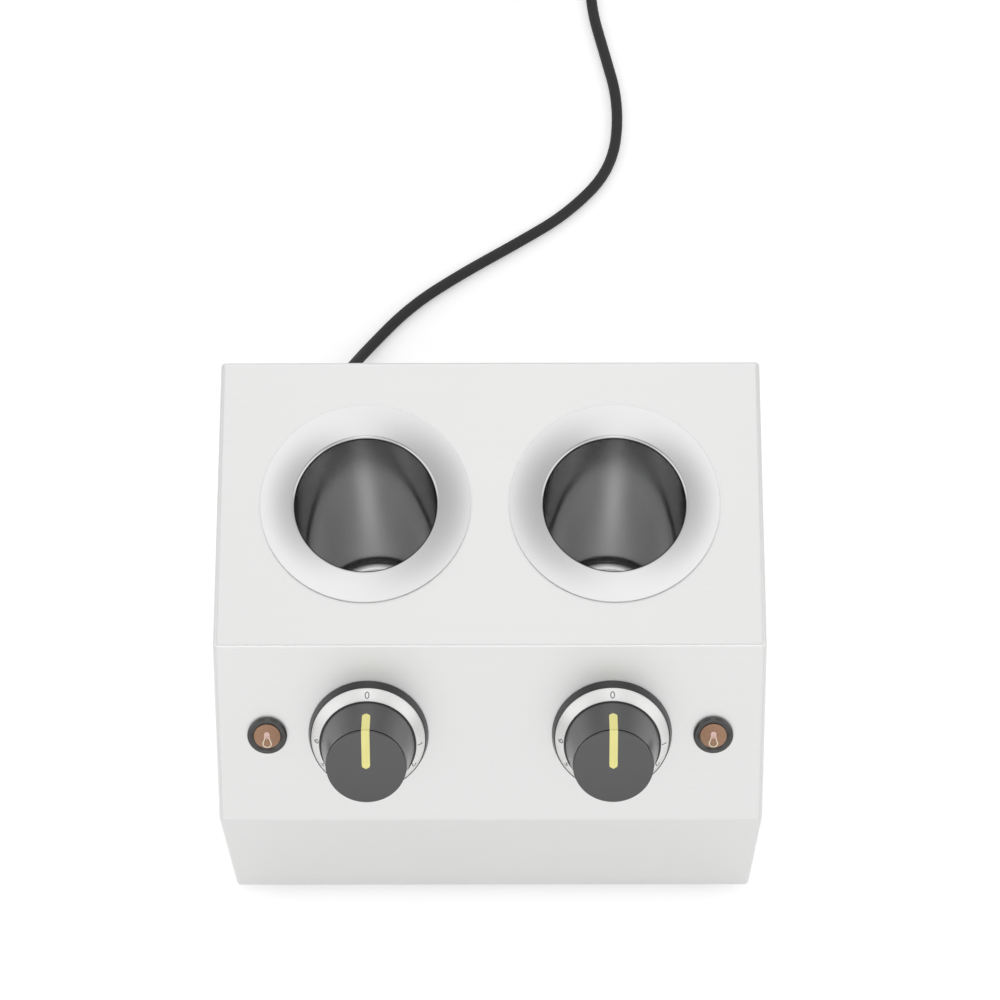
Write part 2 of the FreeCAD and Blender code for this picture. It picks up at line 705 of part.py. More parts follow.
def makeThermostat(side):
    body = newBody(f"{side}_thermostat")
    under = "(-Sizes.sheetGauge - Sizes.bracketGauge)"
    plate = newSketch(body, "Bracket", "XY_Plane", ("0", "0", under))
    width = "(Sizes.thermostatWidth + 2 * Sizes.bracketOverhang)"
    rectangle(plate, "0", "0", width, f"({bracketShare} * Sizes.thermostatLength)")
    feature(body, "Pad", "Plate", plate, "Sizes.bracketGauge")
    case = newSketch(body, "Case", "XY_Plane", ("0", "0", f"{under} - Sizes.thermostatDepth"))
    rectangle(case, "0", "0", "Sizes.thermostatWidth", "Sizes.thermostatLength")
    feature(body, "Pad", "CaseBlock", case, "Sizes.thermostatDepth")
    low = f"{under} - Sizes.thermostatDepth - Sizes.tabLength"
    tabs = newSketch(body, "Tabs", "XY_Plane", ("0", "0", low))
    for sign in sides.values():
        x, y = f"{sign} * {tabShare} * Sizes.thermostatWidth", f"-{tabShare} * Sizes.thermostatLength"
        rectangle(tabs, x, y, "Sizes.tabWidth", "Sizes.tabGauge")
    feature(body, "Pad", "TabBlock", tabs, "Sizes.tabLength + Sizes.screwReach")
    bore = newSketch(body, "Bore", "XY_Plane", ("0", "0", f"-(Sizes.shaftSink + Sizes.shaftFit)"))
    circle(bore, "0", "0", "Sizes.shaftRadius + Sizes.shaftFit")
    feature(body, "Pocket", "BoreCut", bore, "Sizes.shaftSink", reverse=True)
    fixings = newSketch(body, "Fixings", "XY_Plane", ("0", "0", f"{under} - Sizes.screwReach"))
    for screw in sides.values():
        circle(fixings, f"{screw} * Sizes.fixingSpacing / 2", "0", "Sizes.screwRadius")
    through = "Sizes.bracketGauge + Sizes.screwReach + Sizes.overrun"
    feature(body, "Pocket", "FixingCut", fixings, through, reverse=True)
    seatOnPanel(body, side, knobX)


def knobOutline(inset):
    # outer line of the knob, from the middle of its face out and down to the skirt's top
    face, edge = "Sizes.knobFaceRadius", "Sizes.knobFaceEdge"
    foot = f"({knobFoot} + Sizes.knobSkirtHeight)"
    return [
        ("0", f"Sizes.knobRise - {inset}"),
        (f"{face} - {edge} - {inset} / 2", f"Sizes.knobRise - {inset}"),
        (f"{face} - {inset}", f"Sizes.knobRise - {edge} - {inset} / 2"),
        (f"Sizes.knobGripRadius - {inset}", foot),
    ]


def dShape(sketch, radius, flat):
    # round section with a flat on its upper side
    angle = math.acos(value(f"({flat}) / ({radius})"))
    ends = [Vector(sign * value(radius) * math.sin(angle), value(flat), 0) for sign in (-1, 1)]
    arc = sketch.addGeometry(Part.Arc(ends[0], Vector(0, -value(radius), 0), ends[1]), False)
    chord = sketch.addGeometry(Part.LineSegment(ends[1], ends[0]), False)
    forward = edgeEnds(sketch.Geometry[arc], ends[0])
    sketch.addConstraint(Sketcher.Constraint("Coincident", arc, forward[1], chord, 1))
    sketch.addConstraint(Sketcher.Constraint("Coincident", arc, forward[0], chord, 2))
    sketch.addConstraint(Sketcher.Constraint("Coincident", arc, 3, -1, 1))
    sketch.addConstraint(Sketcher.Constraint("Horizontal", chord))
    for kind, of, size in (("Radius", (arc,), radius), ("DistanceY", (-1, 1, chord, 1), flat)):
        number = sketch.addConstraint(Sketcher.Constraint(kind, *of, value(size)))
        sketch.setExpression(f"Constraints[{number}]", size)


def makeKnob(side):
    knob = newBody(f"{side}_knob")
    roof = "(Sizes.knobRise - Sizes.knobWall)"
    skirt = f"({knobFoot} + Sizes.knobSkirtHeight)"
    hubFoot = "(Sizes.bezelWeb + Sizes.hubLift)"
    wall = "Sizes.knobWall"
    revolve(knob, [
        ("0", hubFoot),
        ("Sizes.hubRadius", hubFoot),
        ("Sizes.hubRadius", roof),
        (f"Sizes.knobFaceRadius - {wall}", roof),
        (f"Sizes.knobGripRadius - {wall}", skirt),
        (f"Sizes.knobGripRadius - {wall}", knobFoot),
        ("Sizes.knobSkirtRadius", knobFoot),
        ("Sizes.knobSkirtRadius", skirt),
        *reversed(knobOutline("0")),
    ])
    bore = newSketch(knob, "Bore", "XY_Plane", ("0", "0", f"{hubFoot} - Sizes.overrun"))
    dShape(bore, "(Sizes.shaftRadius + Sizes.shaftFit)", "(Sizes.shaftFlat + Sizes.shaftFit)")
    depth = f"Sizes.shaftReach + Sizes.shaftFit - {hubFoot} + Sizes.overrun"
    feature(knob, "Pocket", "BoreCut", bore, depth, reverse=True)
    groove = newSketch(knob, "Groove", "YZ_Plane")
    outline(groove, pointerOutline("Sizes.overrun"))
    feature(knob, "Pocket", "GrooveCut", groove, "Sizes.pointerWidth", midplane=True)
    seatOnPanel(knob, side, knobX)

    pointer = newBody(f"{side}_pointer")
    strip = newSketch(pointer, "Strip", "YZ_Plane")
    outline(strip, pointerOutline("0"))
    feature(pointer, "Pad", "StripBlock", strip, "Sizes.pointerWidth", midplane=True)
    seatOnPanel(pointer, side, knobX)

    clip = newBody(f"{side}_knob_clip")
    low = f"({hubFoot} + Sizes.clipGauge)"
    outer = "(Sizes.hubRadius + Sizes.clipGauge)"
    revolve(clip, [
        ("Sizes.hubRadius", low),
        (outer, low),
        (outer, f"{low} + Sizes.clipHeight"),
        ("Sizes.hubRadius", f"{low} + Sizes.clipHeight"),
    ], role="YZ_Plane", slot="Sizes.clipSlotAngle")
    seatOnPanel(clip, side, knobX)


def pointerOutline(outside):
    # the strip runs from past the middle of the face over its edge and down part of the grip;
    # outside lifts its outer line clear of the knob
    outer = knobOutline(f"(-{outside})")
    inner = knobOutline("Sizes.pointerDepth")
    for line in (outer, inner):
        edge, foot = line[2:]
        line[0] = ("-Sizes.pointerOverrun", line[0][1])
        line[3] = tuple(f"({high} + (1 - {gripShare}) * ({low} - {high}))" for high, low in zip(edge, foot))
    return outer + list(reversed(inner))


def makeShaft(side):
    shaft = newBody(f"{side}_shaft")
    low = "-Sizes.shaftSink"
    flatLow = "(Sizes.bezelWeb + Sizes.hubLift - Sizes.knobGap)"
    stem = newSketch(shaft, "Stem", "XY_Plane", ("0", "0", low))
    circle(stem, "0", "0", "Sizes.shaftRadius")
    feature(shaft, "Pad", "StemBlock", stem, f"{flatLow} + Sizes.shaftSink")
    top = newSketch(shaft, "Top", "XY_Plane", ("0", "0", flatLow))
    dShape(top, "Sizes.shaftRadius", "Sizes.shaftFlat")
    feature(shaft, "Pad", "TopBlock", top, f"Sizes.shaftReach - {flatLow}")
    seatOnPanel(shaft, side, knobX)


def dialSurface(radius):
    # height of the dial's conical face at a radius
    run = "(Sizes.dialRadius - Sizes.dialBoreRadius)"
    return f"(Sizes.bezelHeight + Sizes.dialRise * (Sizes.dialRadius - {radius}) / {run})"


def makeBezel(side):
    bezel = newBody(f"{side}_bezel")
    recess = "(Sizes.dialBoreRadius - Sizes.dialFit)"
    rim = "(Sizes.dialRadius + Sizes.dialFit)"
    revolve(bezel, [
        ("Sizes.bezelHole", "0"),
        ("Sizes.bezelRadius", "0"),
        ("Sizes.bezelRadius - Sizes.bezelTaper", "Sizes.bezelHeight"),
        (rim, "Sizes.bezelHeight"),
        (rim, f"{dialSurface(rim)} - Sizes.dialGauge"),
        (recess, f"{dialSurface(recess)} - Sizes.dialGauge"),
        (recess, "Sizes.bezelWeb"),
        ("Sizes.bezelHole", "Sizes.bezelWeb"),
    ])
    holes = newSketch(bezel, "Fixings", "XY_Plane", ("0", "0", "-Sizes.overrun"))
    for screw in sides.values():
        circle(holes, f"{screw} * Sizes.fixingSpacing / 2", "0", screwHoleRadius)
    feature(bezel, "Pocket", "FixingCut", holes, "Sizes.bezelWeb + 2 * Sizes.overrun", reverse=True)
    seatOnPanel(bezel, side, knobX)

    dial = newBody(f"{side}_dial")
    revolve(dial, [
        ("Sizes.dialRadius", "Sizes.bezelHeight - Sizes.dialGauge"),
        ("Sizes.dialRadius", "Sizes.bezelHeight"),
        ("Sizes.dialBoreRadius", dialTop),
        ("Sizes.dialBoreRadius", f"{dialTop} - Sizes.dialGauge"),
    ])
    seatOnPanel(dial, side, knobX)


def makeLamp(side):
    lamp = newBody(f"{side}_lamp")
    seat = "(Sizes.lampRimHeight - Sizes.lensSink)"
    slope = "(Sizes.lampRimHeight / 2)"
    revolve(lamp, [
        ("0", "-Sizes.lampBarrelLength"),
        ("Sizes.lampBarrelRadius", "-Sizes.lampBarrelLength"),
        ("Sizes.lampBarrelRadius", "0"),
        ("Sizes.lampRimRadius", "0"),
        ("Sizes.lampRimRadius", slope),
        (f"Sizes.lampRimRadius - {slope}", "Sizes.lampRimHeight"),
        ("Sizes.lensRadius", "Sizes.lampRimHeight"),
        ("Sizes.lensRadius", seat),
        ("0", seat),
    ])
    seatOnPanel(lamp, side, lampX)

    lens = newBody(f"{side}_lens")
    top = "(Sizes.lampRimHeight + Sizes.lensDome)"
    crown = "((Sizes.lensRadius * Sizes.lensRadius / Sizes.lensDome + Sizes.lensDome) / 2)"
    revolve(lens, [
        ("0", seat),
        ("Sizes.lensRadius", seat),
        ("Sizes.lensRadius", "Sizes.lampRimHeight"),
        ("0", top, crown, "right"),
    ])
    seatOnPanel(lens, side, lampX)


def makePanelFasteners():
    stack = "Sizes.bezelWeb + Sizes.sheetGauge + Sizes.bracketGauge"
    screw = screwTemplate("fixingScrew", f"({stack} + Sizes.screwReach - Sizes.screwFit)")
    lift = f"Sizes.bezelWeb * sin({panelTilt})"
    rise = f"Sizes.bezelWeb * cos({panelTilt})"
    tilted = dict(axis=Vector(1, 0, 0), angle=panelTilt)
    group("thermostat_screws", screw, [
        dict(x=f"{sided(side, knobX)} + {sign} * Sizes.fixingSpacing / 2",
             y=f"{controlY} - {lift}", z=f"{controlZ} + {rise}", **tilted)
        for side in sides for sign in sides.values()
    ])
    clip = newBody("lampClip", kept=False)
    under = "-Sizes.sheetGauge"
    revolve(clip, [
        ("Sizes.lampBarrelRadius", f"{under} - Sizes.clipGauge * 2"),
        ("Sizes.lampRimRadius", f"{under} - Sizes.clipGauge * 2"),
        ("Sizes.lampRimRadius", under),
        ("Sizes.lampBarrelRadius", under),
    ])
    spot = dict(y=controlY, z=controlZ, **tilted)
    group("lamp_clips", clip, [dict(x=sided(side, lampX), **spot) for side in sides])


def makeWiring():
    x, y = blockMiddleX, blockMiddleY
    block = newBody("terminal_block")
    profile = newSketch(block, "Section", "XZ_Plane")
    half, shoulder = "(Sizes.blockWidth / 2)", "(Sizes.blockHeight / 2)"
    cap = "(Sizes.blockWidth / 2 - Sizes.blockHeight / 4)"
    outline(profile, [
        (f"-{half}", "0"), (half, "0"), (half, shoulder),
        (cap, "Sizes.blockHeight"), (f"-{cap}", "Sizes.blockHeight"), (f"-{half}", shoulder),
    ])
    feature(block, "Pad", "Moulding", profile, "Sizes.blockLength", midplane=True)
    bores = newSketch(block, "Bores", "XZ_Plane")
    for step in (-1, 0, 1):
        circle(bores, f"{step} * Sizes.blockPitch", shoulder, "Sizes.blockBoreRadius + Sizes.tabGauge")
    feature(block, "Pocket", "BoreCut", bores, "Sizes.blockLength + 2 * Sizes.overrun", midplane=True)
    place(block, x, y, housingFoot)
    sleeve = newBody("blockSleeve", kept=False)
    ring = newSketch(sleeve, "Ring", "XZ_Plane")
    circle(ring, "0", shoulder, "Sizes.blockBoreRadius + Sizes.tabGauge")
    circle(ring, "0", shoulder, "Sizes.blockBoreRadius")
    feature(sleeve, "Pad", "RingBlock", ring, "Sizes.blockLength - 2 * Sizes.tabGauge", midplane=True)
    group("terminal_clamps", sleeve, [
        dict(x=f"{x} + {step} * Sizes.blockPitch", y=y, z=housingFoot) for step in (-1, 0, 1)
    ])

    earthX, earthY = f"({x} + Sizes.earthInset)", y
    stud = newBody("earth_stud")
    reach = "(Sizes.nutHeight + Sizes.screwReach)"
    revolve(stud, [
        ("0", "0"),
        ("Sizes.screwHeadRadius", "0"),
        ("Sizes.screwHeadRadius", "Sizes.plateGauge"),
        ("Sizes.screwRadius", "Sizes.plateGauge"),
        ("Sizes.screwRadius", reach),
        ("0", reach),
    ])
    place(stud, earthX, earthY, housingFoot)
    across, bore = "Sizes.nutAcross", "Sizes.screwRadius"
    nut = hexNut("earth_nut", across, "Sizes.nutHeight", bore, kept=True)
    place(nut, earthX, earthY, f"{housingFoot} + Sizes.plateGauge")


def bulbPlace(side):
    # foot of the sensing bulb, which stands against the outside of the well
    x = f"({sided(side, wellX)} + {sided(side, 'Sizes.bulbSide')})"
    y = f"({wellY} - sqrt({bulbReach} ^ 2 - Sizes.bulbSide ^ 2))"
    return x, y, f"({deckTop} - {bulbDrop})"


def makeBulb(side):
    # sensing bulb, and its capillary tube up to the back of the thermostat
    x, y, low = (value(place) for place in bulbPlace(side))
    radius, length = value("Sizes.bulbRadius"), value(bulbLength)
    bulb = Part.makeCylinder(radius, length, Vector(x, y, low))
    top = Vector(x, y, low + length)
    tilt = math.radians(value(panelTilt))
    inward = Vector(0, math.sin(tilt), -math.cos(tilt))
    depth = value("Sizes.sheetGauge + Sizes.bracketGauge + Sizes.thermostatDepth")
    start = Vector(x, value(controlY), value(controlZ)) + inward * depth
    dip = start + inward * value("Sizes.capillaryDrop")
    rise, slack = value("Sizes.capillaryRise"), value("Sizes.capillarySlack")
    path, _ = roundedPath([
        start,
        dip,
        Vector(x, y - slack, dip.z),
        Vector(x, y - slack * capillaryShare, top.z + rise),
        Vector(x, y, top.z + rise),
        top,
    ], capillaryArcShare)
    tube = tubeAlong(path, start, inward, value("Sizes.capillaryRadius"))
    solidFeature(f"{side}_capillary", bulb.fuse(tube))


def makeBulbClips():
    clip = newBody("bulbClip", kept=False)
    outer = "(Sizes.bulbRadius + Sizes.clipGauge)"
    revolve(clip, [
        ("Sizes.bulbRadius", "0"),
        (outer, "0"),
        (outer, "Sizes.clipHeight"),
        ("Sizes.bulbRadius", "Sizes.clipHeight"),
    ], role="YZ_Plane", slot="Sizes.bulbClipSlotAngle")
    spots = []
    for side in sides:
        x, y, low = bulbPlace(side)
        turn = f"180 + {sides[side]} * asin(Sizes.bulbSide / {bulbReach}) / 1 deg"
        spots.append(dict(x=x, y=y, z=f"{low} + {bulbLength} / 2", axis=Vector(0, 0, 1), angle=turn))
    group("bulb_clips", clip, spots)


def makeCores():
    # three cores from the end of the sheath into the terminal block
    core, straight = value("Sizes.coreRadius"), value("Sizes.screwReach")
    inside = "Sizes.sheetGauge + Sizes.nutHeight + Sizes.screwReach + Sizes.leadInside"
    endY, endZ = value(f"{backY} - ({inside})"), value("Sizes.cordExitHeight")
    end = Vector(value(exitX), endY, endZ)
    blockX, blockY = value(blockMiddleX), value(f"{blockMiddleY} + Sizes.blockLength / 2")
    blockZ = value(f"{housingFoot} + Sizes.blockHeight / 2")
    cores = []
    for step in (-1, 0, 1):
        angle = math.pi / 2 - step * math.tau / 3
        ring = Vector(math.cos(angle), 0, math.sin(angle)) * (core * coreRingShare)
        start = end + ring
        entry = Vector(blockX + step * value("Sizes.blockPitch"), blockY, blockZ)
        points = [
            start,
            start - Vector(0, straight, 0),
            entry + Vector(0, straight, 0),
            entry - Vector(0, straight / 2, 0),
        ]
        path, _ = roundedPath(points, coreArcShare)
        cores.append(tubeAlong(path, start, Vector(0, -1, 0), core))
    solidFeature("lead_cores", Part.makeCompound(cores))


def seatOnBack(thing):
    # local Z points straight out of the back wall at the lead's hole
    place(thing, exitX, backY, "Sizes.cordExitHeight", Vector(-1, 0, 0), "90")


def makeGland():
    gland = newBody("cord_gland")
    inside = "-(Sizes.sheetGauge + Sizes.nutHeight + Sizes.screwReach)"
    cap = "(Sizes.glandFlangeHeight + Sizes.glandCapHeight)"
    tip = f"({cap} + Sizes.sleeveLength)"
    revolve(gland, [
        ("Sizes.cordRadius", inside),
        ("Sizes.glandThreadRadius", inside),
        ("Sizes.glandThreadRadius", "0"),
        ("Sizes.glandFlangeRadius", "0"),
        ("Sizes.glandFlangeRadius", "Sizes.glandFlangeHeight"),
        ("Sizes.glandCapRadius", "Sizes.glandFlangeHeight"),
        ("Sizes.glandCapRadius", cap),
        ("Sizes.cordRadius + Sizes.sleeveRootWall", cap),
        ("Sizes.cordRadius + Sizes.sleeveWall", tip),
        ("Sizes.cordRadius", tip),
    ])
    seatOnBack(gland)
    across, bore = "2 * Sizes.glandFlangeRadius", "Sizes.glandThreadRadius"
    nut = hexNut("gland_nut", across, "Sizes.nutHeight", bore, kept=True)
    inner = f"{backY} - Sizes.sheetGauge - Sizes.nutHeight"
    place(nut, exitX, inner, "Sizes.cordExitHeight", Vector(-1, 0, 0), "90")
    lead = newBody("supply_lead")
    start = f"({inside} - Sizes.leadInside)"
    sketch = newSketch(lead, "Section", "XY_Plane", ("0", "0", start))
    circle(sketch, "0", "0", "Sizes.cordRadius")
    feature(lead, "Pad", "Run", sketch, f"{tip} - {start}")
    seatOnBack(lead)
    return tip


def solidFeature(label, shape):
    made = doc.addObject("Part::Feature", label)
    made.Label = label
    made.Shape = shape
    nodes.append(made)


def roundedPath(points, arcShare):
    # straight runs joined by tangent arcs, each as large as its two runs allow
    edges, radii, last = [], [], points[0]
    for before, point, after in zip(points, points[1:], points[2:]):
        back, ahead = before - point, after - point
        shorter = min(back.Length, ahead.Length)
        half = (math.pi - back.getAngle(ahead)) / 2
        radius = arcShare * shorter / math.tan(half)
        back.normalize()
        ahead.normalize()
        start, end = point + back * (arcShare * shorter), point + ahead * (arcShare * shorter)
        inward = (back + ahead).normalize()
        middle = point + inward * (radius / math.cos(half) - radius)
        edges += [Part.LineSegment(last, start).toShape(), Part.Arc(start, middle, end).toShape()]
        radii.append(radius)
        last = end
    edges.append(Part.LineSegment(last, points[-1]).toShape())
    return Part.Wire(edges), radii


def tubeAlong(path, start, direction, radius):
    ring = Part.Wire([Part.Circle(start, direction, radius).toShape()])
    return path.makePipeShell([ring], True, False)


def cordStart():
    # point on the table below the hole that the lead leaves by
    return Vector(value(exitX), value(backY), 0)


def makeCord(tip):
    # route of the lead on the table, chosen by hand; the first points follow the strain relief
    radius = value("Sizes.cordRadius")
    start = cordStart() + Vector(0, value(tip), value("Sizes.cordExitHeight"))
    end = coilStation(0) - Vector(0, 2 * radius, 0)
    route = [start, start + Vector(0, value("Sizes.cordLeadOut"), 0)]
    route += [cordStart() + Vector(x, y, max(z, radius)) for x, y, z in cordRoute]
    route += [end - Vector(0, value("Sizes.cordLeadIn"), 0), end]
    path, radii = roundedPath(route, cordArcShare)
    tube = tubeAlong(path, start, route[1] - route[0], radius)
    print("cord arc radii", [round(item, 1) for item in radii])
    print("cord run lengths", [round((b - a).Length, 1) for a, b in zip(route, route[1:])])
    ideal = math.pi * radius**2 * path.Length
    print(f"cord length {path.Length:.1f}, volume {tube.Volume:.1f} against {ideal:.1f}")
    solidFeature("power_cord", tube)


def coilStation(step):
    # place on the lead after a number of quarter turns
    angle = step * math.pi / 2
    inner = value(coilEntryRadius) - value("Sizes.coilPitch") * coilReverse / 4
    radius = inner + value("Sizes.coilPitch") * abs(step - coilReverse) / 4
    climb = min(max((step - coilReverse + 1) / 2, 0), 1)
    height = value("Sizes.cordRadius") + value("Sizes.coilClimb") * (1 - math.cos(math.pi * climb)) / 2
    return cordStart() + Vector(*coilSpot, 0) + Vector(radius * math.cos(angle), radius * math.sin(angle), height)


def coilWay(step):
    # direction of the lead there, from the stations a little before and after it
    little = 1 / 64
    return (coilStation(step + little) - coilStation(step - little)).normalize()


def biarc(start, way, end, endWay):
    # two arcs that meet smoothly and leave both ends in the given directions
    chord = end - start
    along = chord.dot(way + endWay)
    bend = 2 * (1 - way.dot(endWay))
    reach = chord.dot(chord) / (along + math.sqrt(along**2 + bend * chord.dot(chord)))
    joint = (start + end + (way - endWay) * reach) / 2
    return [arcFrom(start, way, joint), arcFrom(end, endWay * -1, joint)]


def arcFrom(start, way, end):
    # arc that leaves its start in a given direction and passes through its end
    chord = end - start
    inward = (chord - way * chord.dot(way)).normalize()
    radius = chord.Length**2 / (2 * chord.dot(inward))
    centre = start + inward * radius
    middle = centre + ((start - centre) + (end - centre)).normalize() * radius
    return Part.Arc(start, middle, end)


def makeCoil():
    # the rest of the lead: in two layers, spiralling in and out again, then up to the plug
    radius = value("Sizes.cordRadius")
    stations = [coilStation(step) for step in range(coilQuarters + 1)]
    ways = [coilWay(step) for step in range(coilQuarters + 1)]
    ways[0] = Vector(0, 1, 0)
    ways[-1] = Vector(-1, 0, 0)
    neck = plugStart() + Vector(2 * radius, 0, 0)
    stations.append(neck)
    ways.append(Vector(-1, 0, 0))
    tail = stations[0] - ways[0] * (2 * radius)
    edges = [Part.LineSegment(tail, stations[0]).toShape()]
    for step, end in enumerate(stations[1:]):
        first, second = biarc(stations[step], ways[step], end, ways[step + 1])
        edges += [first.toShape(), second.toShape()]
    edges.append(Part.LineSegment(neck, plugStart()).toShape())
    path = Part.Wire(edges)
    solidFeature("cord_coil", tubeAlong(path, tail, ways[0], radius))
    gap = leastGap(path, radius)
    print(f"coil length {path.Length:.1f}, least gap to itself {gap:.2f}")


def leastGap(path, radius):
    # least distance between the tube's surfaces, away from its own next stretch
    points = path.discretize(Number=int(path.Length / radius * 2))
    apart = path.Length / (len(points) - 1)
    skip = math.ceil(4 * radius / apart)
    least = min(
        a.distanceToPoint(b) for number, a in enumerate(points) for b in points[number + skip:]
    )
    return least - 2 * radius


def plugStart():
    # where the lead enters the plug's sleeve; the plug's axis points along -X
    last = coilStation(coilQuarters)
    straight = 2 * value("Sizes.cordRadius")
    return Vector(last.x - value("Sizes.coilRun") - straight, last.y, value("Sizes.plugRadius"))


def makePlug():
    plug = newBody("plug")
    root, neck = "(Sizes.cordRadius + Sizes.sleeveWall)", "Sizes.plugNeckRadius"
    sleeve = "(Sizes.sleeveLength - Sizes.glandCapHeight)"
    shoulder = f"({sleeve} + Sizes.plugShoulder)"
    face = f"({sleeve} + Sizes.plugLength)"
    revolve(plug, [
        ("0", "0"),
        (root, "0"),
        (f"{root} + Sizes.sleeveWall", sleeve),
        (neck, sleeve),
        (f"{neck} + Sizes.sleeveWall", f"{sleeve} + Sizes.sleeveWall"),
        ("Sizes.plugRadius", shoulder),
        ("Sizes.plugRadius", f"{face} - Sizes.sleeveWall"),
        ("Sizes.plugRadius - Sizes.sleeveWall", face),
        ("0", face),
    ])
    earth = newSketch(plug, "EarthHole", "XY_Plane", ("0", "0", f"{face} - Sizes.plugShoulder"))
    circle(earth, "Sizes.pinSpacing / 2", "0", "Sizes.pinRadius")
    feature(plug, "Pocket", "EarthCut", earth, "Sizes.plugShoulder + Sizes.overrun", reverse=True)
    pin = newBody("plugPin", kept=False)
    revolve(pin, [
        ("0", "0"),
        ("Sizes.pinRadius", "0"),
        ("Sizes.pinRadius", "Sizes.pinLength - Sizes.pinRadius / 2"),
        ("Sizes.pinRadius / 2", "Sizes.pinLength"),
        ("0", "Sizes.pinLength"),
    ])
    spot = plugStart()
    plug.Placement = Placement(spot, Rotation(Vector(0, 1, 0), -90))
    links = []
    for number, sign in enumerate((-1, 1), start=1):
        link = doc.addObject("App::Link", f"plugPin{number}")
        link.LinkedObject = pin
        across = Vector(-value(face), sign * value("Sizes.pinSpacing / 2"), 0)
        link.Placement = Placement(spot + across, Rotation(Vector(0, 1, 0), -90))
        links.append(link)
    pins = doc.addObject("Part::Compound", "plug_pins")
    pins.Label = "plug_pins"
    pins.Links = links
    nodes.append(pins)


def build():
    makeHousing()
    makeBase()
    makeBaseFasteners()
    makeBands()
    for side in sides:
        makeWell(side)
        makeJacket(side)
        makeCutout(side)
        makeThermostat(side)
        makeBulb(side)
        makeShaft(side)
        makeKnob(side)
        makeBezel(side)
        makeLamp(side)
    makeBulbClips()
    makePanelFasteners()
    makeWiring()
    tip = makeGland()
    makeCores()
    makeCord(tip)
    makeCoil()
    makePlug()
    doc.recompute()


def checkDocument():
    for thing in doc.Objects:
        if "Invalid" in thing.State or "Error" in thing.State:
            raise RuntimeError(f"{thing.Name} failed: {thing.State}")
        if thing.TypeId == "PartDesign::Pocket" and not thing.BaseFeature.Shape.Volume > thing.Shape.Volume:
            raise RuntimeError(f"{thing.Name} cuts nothing")


def exportNodes():
    os.makedirs("parts", exist_ok=True)
    for node in nodes:
        if node.Shape.isNull() or not node.Shape.isValid():
            raise RuntimeError(f"{node.Label} has no valid shape")
        node.Shape.exportStep(f"parts/{node.Label}.step")
    print(len(nodes), "nodes written")


build()
checkDocument()
exportNodes()
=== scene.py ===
import json
import math

import bmesh
import bpy
from mathutils import Matrix, Vector


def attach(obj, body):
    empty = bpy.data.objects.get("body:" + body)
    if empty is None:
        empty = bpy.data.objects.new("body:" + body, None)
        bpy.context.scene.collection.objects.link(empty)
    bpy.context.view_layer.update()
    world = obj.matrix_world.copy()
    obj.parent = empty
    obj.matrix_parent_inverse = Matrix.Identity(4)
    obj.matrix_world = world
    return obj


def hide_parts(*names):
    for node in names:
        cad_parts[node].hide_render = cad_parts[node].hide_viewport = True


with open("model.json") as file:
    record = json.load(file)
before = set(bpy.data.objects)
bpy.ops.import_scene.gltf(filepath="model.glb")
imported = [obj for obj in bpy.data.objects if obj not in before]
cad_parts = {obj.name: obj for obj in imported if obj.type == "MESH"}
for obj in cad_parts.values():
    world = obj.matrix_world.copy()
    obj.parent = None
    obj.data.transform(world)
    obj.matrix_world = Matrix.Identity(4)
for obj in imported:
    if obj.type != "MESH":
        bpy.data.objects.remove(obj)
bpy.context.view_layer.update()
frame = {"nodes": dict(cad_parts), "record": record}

# Twin-well topping warmer. Sizes are in millimetres and pieces are made in metres:
# X to the right, Y to the back, Z up.
nodes = frame["nodes"]
mm = 0.001
print("frame loaded:", len(nodes), "nodes")

sides = ("left", "right")


def nodeBox(name):
    # lowest and highest corner of a CAD node, in millimetres
    corners = [vertex.co / mm for vertex in nodes[name].data.vertices]
    low = Vector([min(corner[axis] for corner in corners) for axis in range(3)])
    high = Vector([max(corner[axis] for corner in corners) for axis in range(3)])
    return low, high


def nodeMiddle(name):
    low, high = nodeBox(name)
    return (low + high) / 2


housingHigh = nodeBox("housing")[1]
turns = {joint["child"]: joint for joint in frame["record"]["behaviour"]["joints"]}


def knobFrame(side):
    # where a knob's axis meets the panel: local Z stands out of it, local Y points up the slope
    joint = turns[f"{side}_knob"]
    out = -Vector(joint["axis"])
    across = Vector((1, 0, 0))
    turn = Matrix((across, out.cross(across), out)).transposed()
    return Matrix.Translation(Vector(joint["pos_m"])) @ turn.to_4x4()


def lampFrame(side):
    made = knobFrame(side)
    made.translation.x = nodeMiddle(f"{side}_lamp").x * mm
    return made


def wellFrame(side):
    # middle of the well at the height of the deck
    middle = nodeMiddle(f"{side}_well")
    return Matrix.Translation(Vector((middle.x, middle.y, housingHigh.z)) * mm)


camera = {
    "place": (16.674, -650.014, 1996.015),
    "turn": (21.0618, 0.3533, 0.0373),  # degrees
    "lens": 133.22,
    "sensor": 36,
    "clip": (0.05, 50),  # metres
}


def makeCamera():
    data = bpy.data.cameras.new("camera")
    data.lens = camera["lens"]
    data.sensor_width = camera["sensor"]
    data.clip_start, data.clip_end = camera["clip"]
    seen = bpy.data.objects.new("camera", data)
    seen.location = Vector(camera["place"]) * mm
    seen.rotation_euler = [math.radians(angle) for angle in camera["turn"]]
    bpy.context.scene.collection.objects.link(seen)
    bpy.context.scene.camera = seen


makeCamera()
print("camera placed")


# Shader node groups and the materials made with them.
def newGroup(name, inputs, outputs):
    # a shader node group: inputs and outputs are name, kind, default
    group = bpy.data.node_groups.new(name, "ShaderNodeTree")
    for label, kind, start in inputs:
        socket = group.interface.new_socket(label, in_out="INPUT", socket_type=kind)
        if start is not None:
            socket.default_value = start
    for label, kind in outputs:
        group.interface.new_socket(label, in_out="OUTPUT", socket_type=kind)
    group.nodes.new("NodeGroupInput")
    group.nodes.new("NodeGroupOutput")
    return group


